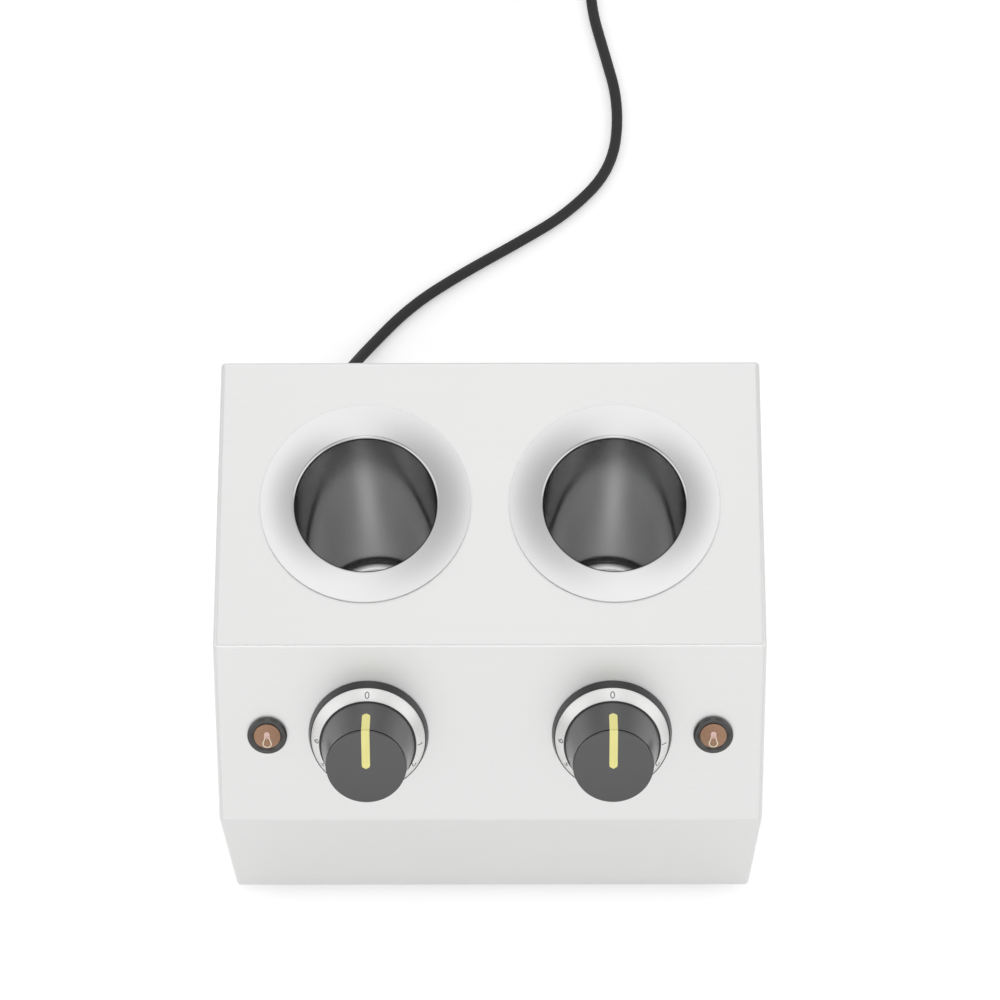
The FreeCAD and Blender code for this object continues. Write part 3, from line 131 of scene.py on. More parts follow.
def addNode(tree, kind, links=None, **settings):
    # links: input name or number -> (node, output) or a plain value
    node = tree.nodes.new(f"ShaderNode{kind}")
    for key, setting in settings.items():
        setattr(node, key, setting)
    for key, source in (links or {}).items():
        if isinstance(source, tuple) and isinstance(source[0], bpy.types.Node):
            tree.links.new(source[0].outputs[source[1]], node.inputs[key])
        else:
            node.inputs[key].default_value = source
    return node


def groupEnd(group, kind):
    return next(node for node in group.nodes if node.bl_idname == f"NodeGroup{kind}")


def sendOut(group, label, node):
    group.links.new(node.outputs[0], groupEnd(group, "Output").inputs[label])


def times(tree, one, other):
    return addNode(tree, "Math", {0: one, 1: other}, operation="MULTIPLY")


def mapRange(tree, source, start, end, low=0, high=1, kind="LINEAR"):
    values = {"Value": source, "From Min": start, "From Max": end, "To Min": low, "To Max": high}
    return addNode(tree, "MapRange", values, interpolation_type=kind)


# Values that all the metals or all the mouldings share.
grains = {
    "angleShare": 0.01,  # what one radian round the axis counts for, in metres
    "lineRoughness": 0.6,
    "cloudScale": 14.0,
    "clouds": 0.25,
    "mottleScale": 60.0,
    "fineness": 2500.0,
    "maskRange": (0.3, 0.7),
    "metalShades": (0.97, 1.02),
    "mouldShades": (0.9, 1.08),
    "mouldVary": 0.05,
    "reliefDistance": 0.0001,
}


def makeSpunPlace():
    # turned or drawn surfaces: radius, angle and height in place of X, Y and Z
    group = newGroup("spunPlace", [("Vector", "NodeSocketVector", None)], [("Vector", "NodeSocketVector")])
    parts = addNode(group, "SeparateXYZ", {0: (groupEnd(group, "Input"), "Vector")})
    squareX = times(group, (parts, "X"), (parts, "X"))
    square = addNode(group, "Math", {0: (parts, "Y"), 1: (parts, "Y"), 2: (squareX, 0)},
                     operation="MULTIPLY_ADD")
    radius = addNode(group, "Math", {0: (square, 0), 1: 0.5}, operation="POWER")
    angle = addNode(group, "Math", {0: (parts, "Y"), 1: (parts, "X")}, operation="ARCTAN2")
    small = times(group, (angle, 0), grains["angleShare"])
    place = addNode(group, "CombineXYZ", {"X": (radius, 0), "Y": (small, 0), "Z": (parts, "Z")})
    sendOut(group, "Vector", place)
    return group


def makeBrushedGrain():
    # fine drawn lines, long along one direction, with slow clouds over them
    group = newGroup(
        "brushedGrain",
        [("Vector", "NodeSocketVector", None), ("Stretch", "NodeSocketVector", (1, 1, 1)),
         ("Lines", "NodeSocketFloat", 1.0), ("Clouds", "NodeSocketFloat", 1.0)],
        [("Height", "NodeSocketFloat"), ("Shade", "NodeSocketFloat")],
    )
    start = groupEnd(group, "Input")
    stretched = addNode(group, "VectorMath", {0: (start, "Vector"), 1: (start, "Stretch")},
                        operation="MULTIPLY")
    lines = addNode(group, "TexNoise", {"Vector": (stretched, 0), "Scale": 1.0, "Detail": 3.0,
                                        "Roughness": grains["lineRoughness"]})
    clouds = addNode(group, "TexNoise", {"Vector": (start, "Vector"), "Scale": grains["cloudScale"],
                                         "Detail": 2.0})
    deep = times(group, (lines, "Fac"), (start, "Lines"))
    slow = times(group, (clouds, "Fac"), (start, "Clouds"))
    both = addNode(group, "Math", {0: (deep, 0), 1: (slow, 0)}, operation="ADD")
    sendOut(group, "Height", deep)
    sendOut(group, "Shade", both)
    return group


def makeMouldGrain():
    # pebbled surface of moulded plastic or rubber, and its slight mottling
    group = newGroup(
        "mouldGrain",
        [("Vector", "NodeSocketVector", None), ("Fineness", "NodeSocketFloat", grains["fineness"])],
        [("Height", "NodeSocketFloat"), ("Mottle", "NodeSocketFloat")],
    )
    start = groupEnd(group, "Input")
    fine = addNode(group, "TexNoise", {"Vector": (start, "Vector"), "Scale": (start, "Fineness"),
                                       "Detail": 2.0})
    slow = addNode(group, "TexNoise", {"Vector": (start, "Vector"), "Scale": grains["mottleScale"],
                                       "Detail": 3.0})
    sendOut(group, "Height", fine)
    sendOut(group, "Mottle", slow)
    return group


spunPlace = makeSpunPlace()
brushedGrain = makeBrushedGrain()
mouldGrain = makeMouldGrain()


def newMaterial(name, colour, metallic, roughness, **sockets):
    material = bpy.data.materials.new(name)
    material.use_nodes = True
    tree = material.node_tree
    shader = tree.nodes["Principled BSDF"]
    shader.inputs["Base Color"].default_value = (*colour, 1)
    shader.inputs["Metallic"].default_value = metallic
    shader.inputs["Roughness"].default_value = roughness
    for label, number in sockets.items():
        shader.inputs[label.replace("_", " ")].default_value = number
    return material, tree, shader


def varyRoughness(tree, shader, source, output, roughness, vary):
    # a mask makes the surface a little smoother or duller
    start, end = grains["maskRange"]
    ranged = mapRange(tree, (source, output), start, end, roughness - vary, roughness + vary)
    tree.links.new(ranged.outputs[0], shader.inputs["Roughness"])


def mixColours(tree, source, output, first, second):
    mixed = addNode(tree, "Mix", {"Factor": (source, output)}, data_type="RGBA")
    mixed.inputs["A"].default_value = (*first, 1)
    mixed.inputs["B"].default_value = (*second, 1)
    return mixed


def tint(tree, shader, source, output, first, second):
    mixed = mixColours(tree, source, output, first, second)
    tree.links.new(mixed.outputs["Result"], shader.inputs["Base Color"])
    return mixed


def shaded(colour, shares):
    # the darker and the lighter shade of a colour
    return [[min(channel * share, 1) for channel in colour] for share in shares]


def relief(tree, shader, grain, depth):
    bump = addNode(tree, "Bump", {"Height": (grain, "Height"), "Strength": depth,
                                  "Distance": grains["reliefDistance"]})
    tree.links.new(bump.outputs[0], shader.inputs["Normal"])


def spunNode(tree, place):
    return addNode(tree, "Group", {"Vector": (place, "Object")}, node_tree=spunPlace)


def brushedNode(tree, place, stretch):
    # place is a node and its output; stretch is how fine the lines run along X, Y and Z
    clouds = grains["clouds"]
    values = {"Vector": place, "Stretch": stretch, "Lines": 1 - clouds, "Clouds": clouds}
    return addNode(tree, "Group", values, node_tree=brushedGrain)


def brushedMetal(name, colour, roughness, stretch, depth=0.15, vary=0.04, spun=False, metallic=1):
    material, tree, shader = newMaterial(name, colour, metallic, roughness)
    place = addNode(tree, "TexCoord")
    grain = brushedNode(tree, (spunNode(tree, place), "Vector") if spun else (place, "Object"), stretch)
    varyRoughness(tree, shader, grain, "Shade", roughness, vary)
    tint(tree, shader, grain, "Shade", *shaded(colour, grains["metalShades"]))
    relief(tree, shader, grain, depth)
    return material


def moulded(name, colour, roughness, depth=0.1, fineness=grains["fineness"], **sockets):
    material, tree, shader = newMaterial(name, colour, 0, roughness, **sockets)
    values = {"Vector": (addNode(tree, "TexCoord"), "Object"), "Fineness": fineness}
    grain = addNode(tree, "Group", values, node_tree=mouldGrain)
    varyRoughness(tree, shader, grain, "Mottle", roughness, grains["mouldVary"])
    tint(tree, shader, grain, "Mottle", *shaded(colour, grains["mouldShades"]))
    relief(tree, shader, grain, depth)
    return material


drawn = {
    "flange": (0.7, 0.7, 0.7),
    # painted shade: the wall's darker colour stands for the shade down inside the well
    "wall": (0.515, 0.515, 0.517),
    # painted light: the floor's paler colour stands for light falling on the well's floor
    "floor": (0.97, 0.97, 0.965),
    "flangeRoughness": 0.26,
    "wallRoughness": 0.18,
    "floorRoughness": 0.26,
    "stretch": (900, 60, 900),
    "depth": 0.04,
    # the colour and roughness change over these radii, where the wall bends into the flange, and over these
    # heights at its foot
    "bend": (36.9, 38.5),
    "foot": (-187.6, -185.5),
}


def drawnSteelWithPaintedShading():
    # spun finish on the flange and a smoother one down the drawn wall; the wall's darker colour is painted
    # shade and the floor's paler colour is painted light
    material, tree, shader = newMaterial("drawnSteelWithPaintedShading", drawn["flange"], 1, drawn["flangeRoughness"])
    turned = spunNode(tree, addNode(tree, "TexCoord"))
    relief(tree, shader, brushedNode(tree, (turned, "Vector"), drawn["stretch"]), drawn["depth"])
    parts = addNode(tree, "SeparateXYZ", {0: (turned, "Vector")})
    inner, outer = drawn["bend"]
    out = mapRange(tree, (parts, "X"), inner * mm, outer * mm)
    low, high = drawn["foot"]
    rise = mapRange(tree, (parts, "Z"), low * mm, high * mm)
    # painted light on the floor, blending into painted shade up the wall
    inside = mixColours(tree, rise, 0, drawn["floor"], drawn["wall"])
    # the flange keeps its own colour; inside the bend the painted shade and light take over
    colour = tint(tree, shader, out, 0, drawn["wall"], drawn["flange"])
    tree.links.new(inside.outputs["Result"], colour.inputs["A"])
    smooth = mapRange(tree, (rise, 0), 0, 1, drawn["floorRoughness"], drawn["wallRoughness"])
    rough = mapRange(tree, (out, 0), 0, 1, (smooth, 0), drawn["flangeRoughness"])
    tree.links.new(rough.outputs[0], shader.inputs["Roughness"])
    return material


finishes = {
    "stainless": brushedMetal("sheetSteel", (0.87, 0.87, 0.865), 0.42, (6, 700, 700), depth=0.035, vary=0.02),
    "drawn_steel": drawnSteelWithPaintedShading(),
    "zinc_steel": brushedMetal("zincSteel", (0.68, 0.69, 0.72), 0.25, (400, 400, 400)),
    "heater_sheath": brushedMetal("heaterSheath", (0.6, 0.6, 0.58), 0.45, (300, 300, 30)),
    "dial_silver": brushedMetal("dialSilver", (0.92, 0.92, 0.91), 0.4, (900, 60, 900), depth=0.03, vary=0.02,
                                spun=True, metallic=0.4),
    "copper": brushedMetal("copper", (0.72, 0.42, 0.26), 0.3, (200, 200, 200)),
    "brass": brushedMetal("brass", (0.76, 0.58, 0.28), 0.3, (200, 200, 200)),
    "pin_nickel": brushedMetal("pinNickel", (0.8, 0.79, 0.75), 0.22, (20, 900, 900)),
    "grey_plastic": moulded("knobPlastic", (0.055, 0.055, 0.057), 0.22, depth=0.05, Specular_IOR_Level=1.0),
    "black_plastic": moulded("bezelPlastic", (0.032, 0.032, 0.034), 0.24, depth=0.04),
    "lamp_body": moulded("lampPlastic", (0.04, 0.038, 0.037), 0.16, depth=0.02, Specular_IOR_Level=0.8),
    "lime_inlay": moulded("limeInlay", (0.92, 0.86, 0.33), 0.4, depth=0.02),
    "silicone": moulded("silicone", (0.75, 0.75, 0.74), 0.5),
    "thermostat_case": moulded("phenolic", (0.07, 0.045, 0.03), 0.4),
    "foot_rubber": moulded("footRubber", (0.03, 0.03, 0.03), 0.7, depth=0.3),
    "cord_sheath": moulded("cordSheath", (0.015, 0.015, 0.016), 0.55, depth=0.15),
    "gland_nylon": moulded("glandNylon", (0.04, 0.04, 0.042), 0.4),
    "plug_vinyl": moulded("plugVinyl", (0.045, 0.045, 0.047), 0.45, depth=0.2),
    "ceramic_block": moulded("steatite", (0.8, 0.79, 0.74), 0.35, depth=0.05),
    "glass_fibre": moulded("glassFibre", (0.75, 0.73, 0.64), 0.85, depth=0.6, fineness=900.0),
    "amber_lens": moulded("amberLens", (0.4, 0.22, 0.13), 0.12, depth=0.05),
}
prints = {
    "dialInk": moulded("dialInk", (0.03, 0.03, 0.03), 0.5, depth=0.02),
    "glowLoop": moulded("glowLoop", (0.9, 0.78, 0.6), 0.35, depth=0.02),
    "glowTip": moulded("glowTip", (0.88, 0.6, 0.55), 0.35, depth=0.02),
}


def dressNodes():
    # every CAD node starts with the finish of its own slot in the record
    for part in frame["record"]["subparts"]:
        material = finishes[part["material_slot"]]
        mesh = nodes[part["node"]].data
        if not mesh.materials:
            mesh.materials.append(material)
        for slot in nodes[part["node"]].material_slots:
            slot.material = material


dressNodes()
print("materials made:", len(finishes))


# Helpers for the pieces that take the place of CAD nodes.
def addPiece(mesh, body, slot, replaced=(), matrix=None, material=None):
    piece = bpy.data.objects.new(mesh.name, mesh)
    bpy.context.scene.collection.objects.link(piece)
    if matrix:
        piece.matrix_world = matrix
    mesh.materials.append(material or finishes[slot])
    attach(piece, body)
    if replaced:
        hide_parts(*replaced)
    return piece


def finishMesh(name, made, sharp=32):
    bmesh.ops.recalc_face_normals(made, faces=made.faces)
    mesh = bpy.data.meshes.new(name)
    made.to_mesh(mesh)
    made.free()
    for face in mesh.polygons:
        face.use_smooth = True
    mesh.set_sharp_from_angle(angle=math.radians(sharp))
    return mesh


def arc(x, z, radius, start, end, steps=6):
    # points of an arc in a profile, angles in degrees from +X towards +Z
    angles = [math.radians(start + (end - start) * step / steps) for step in range(steps + 1)]
    return [(x + radius * math.cos(angle), z + radius * math.sin(angle)) for angle in angles]


def lathe(name, profile, sizes, press=None):
    # turns a closed profile of radius and height round Z; press gives how deep the surface lies at a spot
    segments = sizes["segments"]
    made = bmesh.new()
    rings = []
    for radius, height in profile:
        ring = []
        for step in range(segments if radius > 0 else 1):
            angle = math.tau * step / segments
            reach = radius - press(radius, height, angle) if press else radius
            spot = Vector((reach * math.cos(angle), reach * math.sin(angle), height))
            ring.append(made.verts.new(spot * mm))
        rings.append(ring)
    for this, following in zip(rings, rings[1:] + rings[:1]):
        joinRings(made, this, following)
    return finishMesh(name, made, sizes["sharp"])


def joinRings(made, this, following):
    if len(this) == 1 and len(following) == 1:
        return
    count = max(len(this), len(following))
    for step in range(count):
        after = (step + 1) % count
        corners = []
        for ring, order in ((this, (step, after)), (following, (after, step))):
            corners += [ring[0]] if len(ring) == 1 else [ring[number] for number in order]
        made.faces.new(corners)


def closeRow(made, rings):
    # joins a row of sections and closes both of its ends
    for this, following in zip(rings, rings[1:]):
        joinRings(made, this, following)
    made.faces.new(rings[0])
    made.faces.new(list(reversed(rings[-1])))


well = {
    "bore": 36.6,
    "gauge": 0.8,
    "rim": 2.2,
    "rimEnds": (99.5, 100),  # degrees at which the rounds above and below the rim end
    "depth": 188,
    "floorCurve": 5,
    "flange": 54.7,
    "flat": 0.4,
    "blend": 0.3,
    "blendDrop": 0.05,
    "dish": 2.2,
    "edge": 0.3,
    "seal": 0.3,
    "segments": 192,
    "sharp": 40,
}


def makeWell(side):
    bore, gauge, rim, curve = well["bore"], well["gauge"], well["rim"], well["floorCurve"]
    top = well["seal"] + gauge
    inner = top - well["dish"]
    flat = well["flange"] - well["flat"]
    floor = -well["depth"]
    upper, lower = well["rimEnds"]
    blend = well["blend"]
    fall = well["dish"] * blend / (flat - bore - rim)
    profile = [
        (0, floor - gauge),
        *arc(bore - curve, floor + curve, curve + gauge, -90, 0, steps=8),
        *arc(bore + rim, inner - rim, rim - gauge, 180, lower),
        (flat - blend, well["seal"] - fall),
        (flat, well["seal"]),
        (well["flange"], well["seal"]),
        *arc(well["flange"] - well["edge"], top - well["edge"], well["edge"], 0, 90, steps=4),
        (flat + blend, top),
        (flat, top - well["blendDrop"]),
        (flat - blend, top - fall),
        *arc(bore + rim, inner - rim, rim, upper, 180, steps=12),
        *arc(bore - curve, floor + curve, curve, 0, -90, steps=10),
        (0, floor),
    ]
    mesh = lathe(f"{side}_well_shell", profile, well)
    addPiece(mesh, "warmer", "drawn_steel", [f"{side}_well"], wellFrame(side))


knob = {
    "rise": 35.9,
    "face": 20.4,
    "edge": 0.7,
    "grip": 22.6,
    "skirt": 25,
    "ringHeight": 0.5,
    "ringEdge": 0.1,
    "ringOverlap": 0.4,
    "flare": 24.3,
    "flareBend": 1.15,
    "gripSteps": 12,
    "groove": 0.9,
    "grooveTop": 0.2,
    "grooveDepth": 1.4,
    "grooveStep": 0.25,
    "wall": 2.4,
    "foot": 11.1,
    "footLine": 1,
    "hub": 6.5,
    "hubFoot": 9.5,
    "bore": 3.06,
    "boreEnd": 25.06,
    "segments": 128,
    "sharp": 35,
}


def gripFall():
    # height of the grip, from the face's rounded edge down to the foot ring
    return knob["rise"] - knob["edge"] - knob["foot"] - knob["ringHeight"]


def gripRadius(down):
    # the grip widens from the face to its foot
    return knob["face"] + (knob["flare"] - knob["face"]) * (down / gripFall()) ** knob["flareBend"]


def gripLine():
    # up the grip to a groove that parts it from the face
    high, fall = knob["rise"] - knob["edge"], gripFall()
    end = knob["groove"] + knob["grooveTop"]
    line = []
    for step in range(knob["gripSteps"] + 1):
        down = fall + (end - fall) * step / knob["gripSteps"]
        line.append((gripRadius(down), high - down))
    return line + [
        (knob["face"] + knob["grooveStep"], high - end),
        (knob["face"] - knob["grooveDepth"], high - end),
        (knob["face"] - knob["grooveDepth"], high - knob["grooveTop"]),
        (knob["face"], high - knob["grooveTop"]),
    ]


def makeKnob(side):
    face, edge, rise, foot = knob["face"], knob["edge"], knob["rise"], knob["foot"]
    inner, roof = knob["flare"] - knob["ringOverlap"], rise - knob["wall"]
    profile = [
        (0, knob["boreEnd"]),
        (knob["bore"], knob["boreEnd"]),
        (knob["bore"], knob["hubFoot"]),
        (knob["hub"], knob["hubFoot"]),
        (knob["hub"], roof),
        (face - knob["wall"], roof),
        (knob["grip"] - knob["wall"], foot + knob["footLine"]),
        (knob["grip"] - knob["wall"], foot),
        (inner, foot),
        (inner, foot + knob["ringHeight"]),
        *gripLine(),
        *arc(face - edge, rise - edge, edge, 0, 90),
        (0, rise),
    ]
    mesh = lathe(f"{side}_knob_shell", profile, knob)
    addPiece(mesh, f"{side}_knob", "grey_plastic", [f"{side}_knob"], knobFrame(side))


def makeKnobShadowRing(side):
    # black ring round the knob's foot, painted shade: a dark part standing for the shadow gap where the knob
    # meets the dial
    inner, outer = knob["flare"] - knob["ringOverlap"], knob["skirt"]
    low, soft = knob["foot"], knob["ringEdge"]
    high = low + knob["ringHeight"]
    profile = [
        (inner, low),
        (outer - soft, low),
        (outer, low + soft),
        (outer, high - soft),
        (outer - soft, high),
        (inner, high),
    ]
    mesh = lathe(f"{side}_knob_shadow_ring", profile, knob)
    addPiece(mesh, f"{side}_knob", "black_plastic", (), knobFrame(side))


pointer = {
    "width": 4.2,
    "overrun": 0.9,
    "share": 0.38,
    "lift": 0.06,
    "depth": 0.6,
    "tip": 0.15,
    "across": (-1, -0.5, 0, 0.5, 1),
    "bend": (10, 19),  # radii over which its section takes on the round of the knob
    "steps": (24, 6, 16),  # over the face, its edge and the grip
    "sharp": 50,
}


def makePointer(side):
    made = bmesh.new()
    closeRow(made, [pointerSection(made, *station) for station in pointerStations()])
    mesh = finishMesh(f"{side}_pointer_strip", made, pointer["sharp"])
    addPiece(mesh, f"{side}_knob", "lime_inlay", [f"{side}_pointer"], knobFrame(side))


def pointerStations():
    # radius, height, tilt of the surface and half width along the strip, with round ends
    face, edge, rise = knob["face"], knob["edge"], knob["rise"]
    end = (1 - pointer["share"]) * gripFall()
    lean = math.degrees(math.atan((knob["flare"] - face) / gripFall()))
    half = pointer["width"] / 2
    reach = face - edge + pointer["overrun"]
    faceSteps, edgeSteps, gripSteps = pointer["steps"]
    way = []
    for step in range(faceSteps + 1):
        way.append((-pointer["overrun"] + reach * step / faceSteps, rise, 90))
    for step in range(1, edgeSteps):
        tilt = 90 - (90 - lean) * step / edgeSteps
        angle = math.radians(tilt)
        way.append((face - edge + edge * math.cos(angle), rise - edge + edge * math.sin(angle), tilt))
    for step in range(gripSteps + 1):
        down = end * step / gripSteps
        way.append((gripRadius(down), rise - edge - down, lean))
    lengths = [0]
    for before, after in zip(way, way[1:]):
        lengths.append(lengths[-1] + math.dist(before[:2], after[:2]))
    for (radius, height, tilt), along in zip(way, lengths):
        near = min(along, lengths[-1] - along)
        short = max(half - near, 0)
        yield radius, height, tilt, max(math.sqrt(half**2 - short**2), pointer["tip"])


def pointerSection(made, radius, height, tilt, half):
    # one section across the strip, its upper side following the round of the knob
    angle = math.radians(tilt)
    start, end = pointer["bend"]
    blend = min(max((radius - start) / (end - start), 0), 1)
    section = []
    for lift, shares in ((pointer["lift"], pointer["across"]), (-pointer["depth"], (1, -1))):
        for share in shares:
            x = share * half
            sag = (radius - math.sqrt(max(radius**2 - x**2, 0))) * blend
            y = radius - sag + lift * math.cos(angle)
            section.append(made.verts.new(Vector((x, y, height + lift * math.sin(angle))) * mm))
    return section


bezel = {
    "radius": 31,
    "height": 5.2,
    "taper": 1.2,
    "web": 3,
    "hole": 9,
    "dialRadius": 29.35,
    "dialBore": 24,
    "dialRise": 5.3,
    "dialGauge": 0.8,
    "fit": 0.1,
    "edge": 0.3,
    "edgeAngle": 8,  # degrees, where the flank meets the round
    "segments": 128,
    "sharp": 35,
}


def dialHeight(radius):
    # the dial slopes up from its rim to its bore
    run = bezel["dialRadius"] - bezel["dialBore"]
    return bezel["height"] + bezel["dialRise"] * (bezel["dialRadius"] - radius) / run


def makeBezel(side):
    rim, recess = bezel["dialRadius"] + bezel["fit"], bezel["dialBore"] - bezel["fit"]
    top = bezel["radius"] - bezel["taper"]
    edge = min(bezel["edge"], top - rim)
    profile = [
        (bezel["hole"], 0),
        (bezel["radius"] - bezel["edge"], 0),
        (bezel["radius"], bezel["edge"]),
        *arc(top - edge, bezel["height"] - edge, edge, bezel["edgeAngle"], 90, steps=3),
        (rim, bezel["height"]),
        (rim, dialHeight(rim) - bezel["dialGauge"]),
        (recess, dialHeight(recess) - bezel["dialGauge"]),
        (recess, bezel["web"]),
        (bezel["hole"], bezel["web"]),
    ]
    mesh = lathe(f"{side}_bezel_ring", profile, bezel)
    addPiece(mesh, "warmer", "black_plastic", [f"{side}_bezel"], knobFrame(side))


def makeDial(side):
    outer, inner, gauge, edge = bezel["dialRadius"], bezel["dialBore"], bezel["dialGauge"], bezel["edge"] / 2
    profile = [
        (outer, bezel["height"] - gauge),
        (outer, bezel["height"] - edge),
        (outer - edge, dialHeight(outer - edge)),
        (inner + edge, dialHeight(inner + edge)),
        (inner, dialHeight(inner) - edge),
        (inner, dialHeight(inner) - gauge),
    ]
    mesh = lathe(f"{side}_dial_ring", profile, bezel)
    addPiece(mesh, "warmer", "dial_silver", [f"{side}_dial"], knobFrame(side))


# Numbers on the dial: clockwise angle of each from the top, and size on the sloping ring.
dialNumbers = {0: 0, 1: 93, 2: 120, 3: 160, 4: 200, 5: 240, 6: 271}
digit = {
    "height": 3.6,
    "width": 3.9,
    "stroke": 0.42,
    "lift": 0.03,
    "middleShare": 0.5,
    "middle": (0.3, 0.5),  # in the box that the lines below are drawn in
}


def loop(x, y, width, height, start, end, steps=14):
    # part of an ellipse in a digit's own box, angles in degrees
    angles = [math.radians(start + (end - start) * step / steps) for step in range(steps + 1)]
    return [(x + width * math.cos(angle), y + height * math.sin(angle)) for angle in angles]


digitLines = {
    0: [loop(0.3, 0.5, 0.25, 0.47, 0, 360, 24)],
    1: [[(0.12, 0.76), (0.34, 0.98), (0.34, 0.02)]],
    2: [loop(0.3, 0.72, 0.25, 0.25, 170, -40) + [(0.04, 0.03), (0.57, 0.03)]],
    3: [loop(0.3, 0.74, 0.23, 0.23, 150, -90), loop(0.3, 0.27, 0.26, 0.25, 90, -150)],
    4: [[(0.44, 0.02), (0.44, 0.98), (0.04, 0.3), (0.58, 0.3)]],
    5: [[(0.53, 0.97), (0.12, 0.97), (0.09, 0.56)] + loop(0.28, 0.32, 0.27, 0.3, 125, -150)],
    6: [loop(0.62, 0.36, 0.57, 0.6, 115, 180, 8) + loop(0.3, 0.3, 0.25, 0.28, 180, 540, 20)],
}


def dialPoint(angle, across, up):
    # a spot on the sloping ring: angle clockwise from the top, then millimetres across and up the slope
    run = bezel["dialRadius"] - bezel["dialBore"]
    slope = math.atan2(bezel["dialRise"], run)
    middle = bezel["dialBore"] + run * digit["middleShare"]
    radius = middle + up * math.cos(slope)
    height = dialHeight(radius) + digit["lift"] * math.cos(slope)
    radius += digit["lift"] * math.sin(slope)
    turn = math.radians(angle) + across / radius
    return Vector((radius * math.sin(turn), radius * math.cos(turn), height)) * mm


def wayBetween(before, after):
    return Vector((after[0] - before[0], after[1] - before[1])).normalized()


def openWays(points):
    # each point of an open line, with the way that the line takes there
    for number, point in enumerate(points):
        before, after = points[max(number - 1, 0)], points[min(number + 1, len(points) - 1)]
        yield point, wayBetween(before, after)


def ribbon(made, points, width, put):
    # flat stroke of even width along a line of points; put places a point of the plane
    rows = []
    for (x, y), way in openWays(points):
        offset = Vector((-way.y, way.x)) * (width / 2)
        rows.append([made.verts.new(put(x + side * offset.x, y + side * offset.y)) for side in (-1, 1)])
    for this, following in zip(rows, rows[1:]):
        made.faces.new((this[0], this[1], following[1], following[0]))


def makeDialPrint(side):
    made = bmesh.new()
    middleX, middleY = digit["middle"]
    for number, angle in dialNumbers.items():
        for line in digitLines[number]:
            points = [((x - middleX) * digit["width"], (y - middleY) * digit["height"]) for x, y in line]
            ribbon(made, points, digit["stroke"], lambda x, y: dialPoint(angle, x, y))
    mesh = finishMesh(f"{side}_dial_numbers", made)
    addPiece(mesh, "warmer", "black_plastic", (), knobFrame(side), prints["dialInk"])


lamp = {
    "rim": 10.3,
    "rimAngle": 115,  # degrees of the rim's round
    "height": 2.6,
    "barrel": 6.4,
    "barrelLength": 22,
    "lens": 6.85,
    "lensFit": 0.1,
    "lensSink": 0.5,
    "lip": 0.5,
    "sink": 1.4,
    "dome": 0.9,
    "dimple": 0.2,
    "dimplePitch": 1.75,
    "dimpleFade": 1,
    "lensRings": 26,
    "lensSharp": 60,
    "segments": 96,
    "sharp": 40,
}


def makeLamp(side):
    rim, height, barrel = lamp["rim"], lamp["height"], lamp["barrel"]
    bore, seat = lamp["lens"] + lamp["lensFit"], height - lamp["sink"]
    rounding = height / 2
    profile = [
        (0, -lamp["barrelLength"]),
        (barrel, -lamp["barrelLength"]),
        (barrel, 0),
        (rim, 0),
        *arc(rim - rounding, height - rounding, rounding, 0, lamp["rimAngle"], steps=8),
        (bore, seat + lamp["lip"]),
        (bore, seat),
        (0, seat),
    ]
    mesh = lathe(f"{side}_lamp_body", profile, lamp)
    addPiece(mesh, "warmer", "lamp_body", [f"{side}_lamp"], lampFrame(side))


def lensHeight(x, y):
    # low dome with rows of small dimples
    radius, sink = lamp["lens"], lamp["lensSink"]
    distance = math.hypot(x, y)
    dome = lamp["height"] - sink + (lamp["dome"] + sink) * (1 - (distance / radius) ** 2)
    wave = math.tau / lamp["dimplePitch"]
    fade = min(max((radius - distance) / lamp["dimpleFade"], 0), 1)
    return dome + lamp["dimple"] * math.cos(wave * x) * math.cos(wave * y) * fade


def makeLens(side):
    made = bmesh.new()
    rings, segments = lamp["lensRings"], lamp["segments"]
    seat = lamp["height"] - lamp["sink"]
    rows = [[made.verts.new(Vector((0, 0, lensHeight(0, 0))) * mm)]]
    for ring in range(1, rings + 1):
        radius = lamp["lens"] * ring / rings
        angles = [math.tau * step / segments for step in range(segments)]
        spots = [(radius * math.cos(angle), radius * math.sin(angle)) for angle in angles]
        rows.append([made.verts.new(Vector((x, y, lensHeight(x, y))) * mm) for x, y in spots])
    rows.append([made.verts.new(Vector((x, y, seat)) * mm) for x, y in spots])
    rows.append([made.verts.new(Vector((0, 0, seat)) * mm)])
    for this, following in zip(rows, rows[1:]):
        joinRings(made, this, following)
    mesh = finishMesh(f"{side}_lens_cap", made, lamp["lensSharp"])
    addPiece(mesh, "warmer", "amber_lens", [f"{side}_lens"], lampFrame(side))


# Glow lamp behind the lens, drawn as an open loop below a filled tip.
glow = {
    "width": 4.3,
    "stroke": 0.62,
    "foot": -6,
    "neck": -0.8,
    "loopRise": 0.4,
    "loopShare": 0.85,
    "loopTurn": 30,  # degrees beyond the half circle, at both ends
    "tipTop": 3.2,
    "tipWidth": 2.9,
    "lift": 0.2,
}


def lensPoint(x, y):
    return Vector((x, y, lensHeight(x, y) + glow["lift"])) * mm


def makeGlowLoop(side):
    belly, reach = glow["width"] / 2, glow["tipWidth"] / 2 * glow["loopShare"]
    start, end = 180 - glow["loopTurn"], 360 + glow["loopTurn"]
    bottom = loop(0, glow["foot"] + belly, belly, belly, start, end, steps=18)
    top = glow["neck"] + glow["loopRise"]
    made = bmesh.new()
    ribbon(made, [(-reach, top), *bottom, (reach, top)], glow["stroke"], lensPoint)
    mesh = finishMesh(f"{side}_lamp_loop", made)
    addPiece(mesh, "warmer", "amber_lens", (), lampFrame(side), prints["glowLoop"])


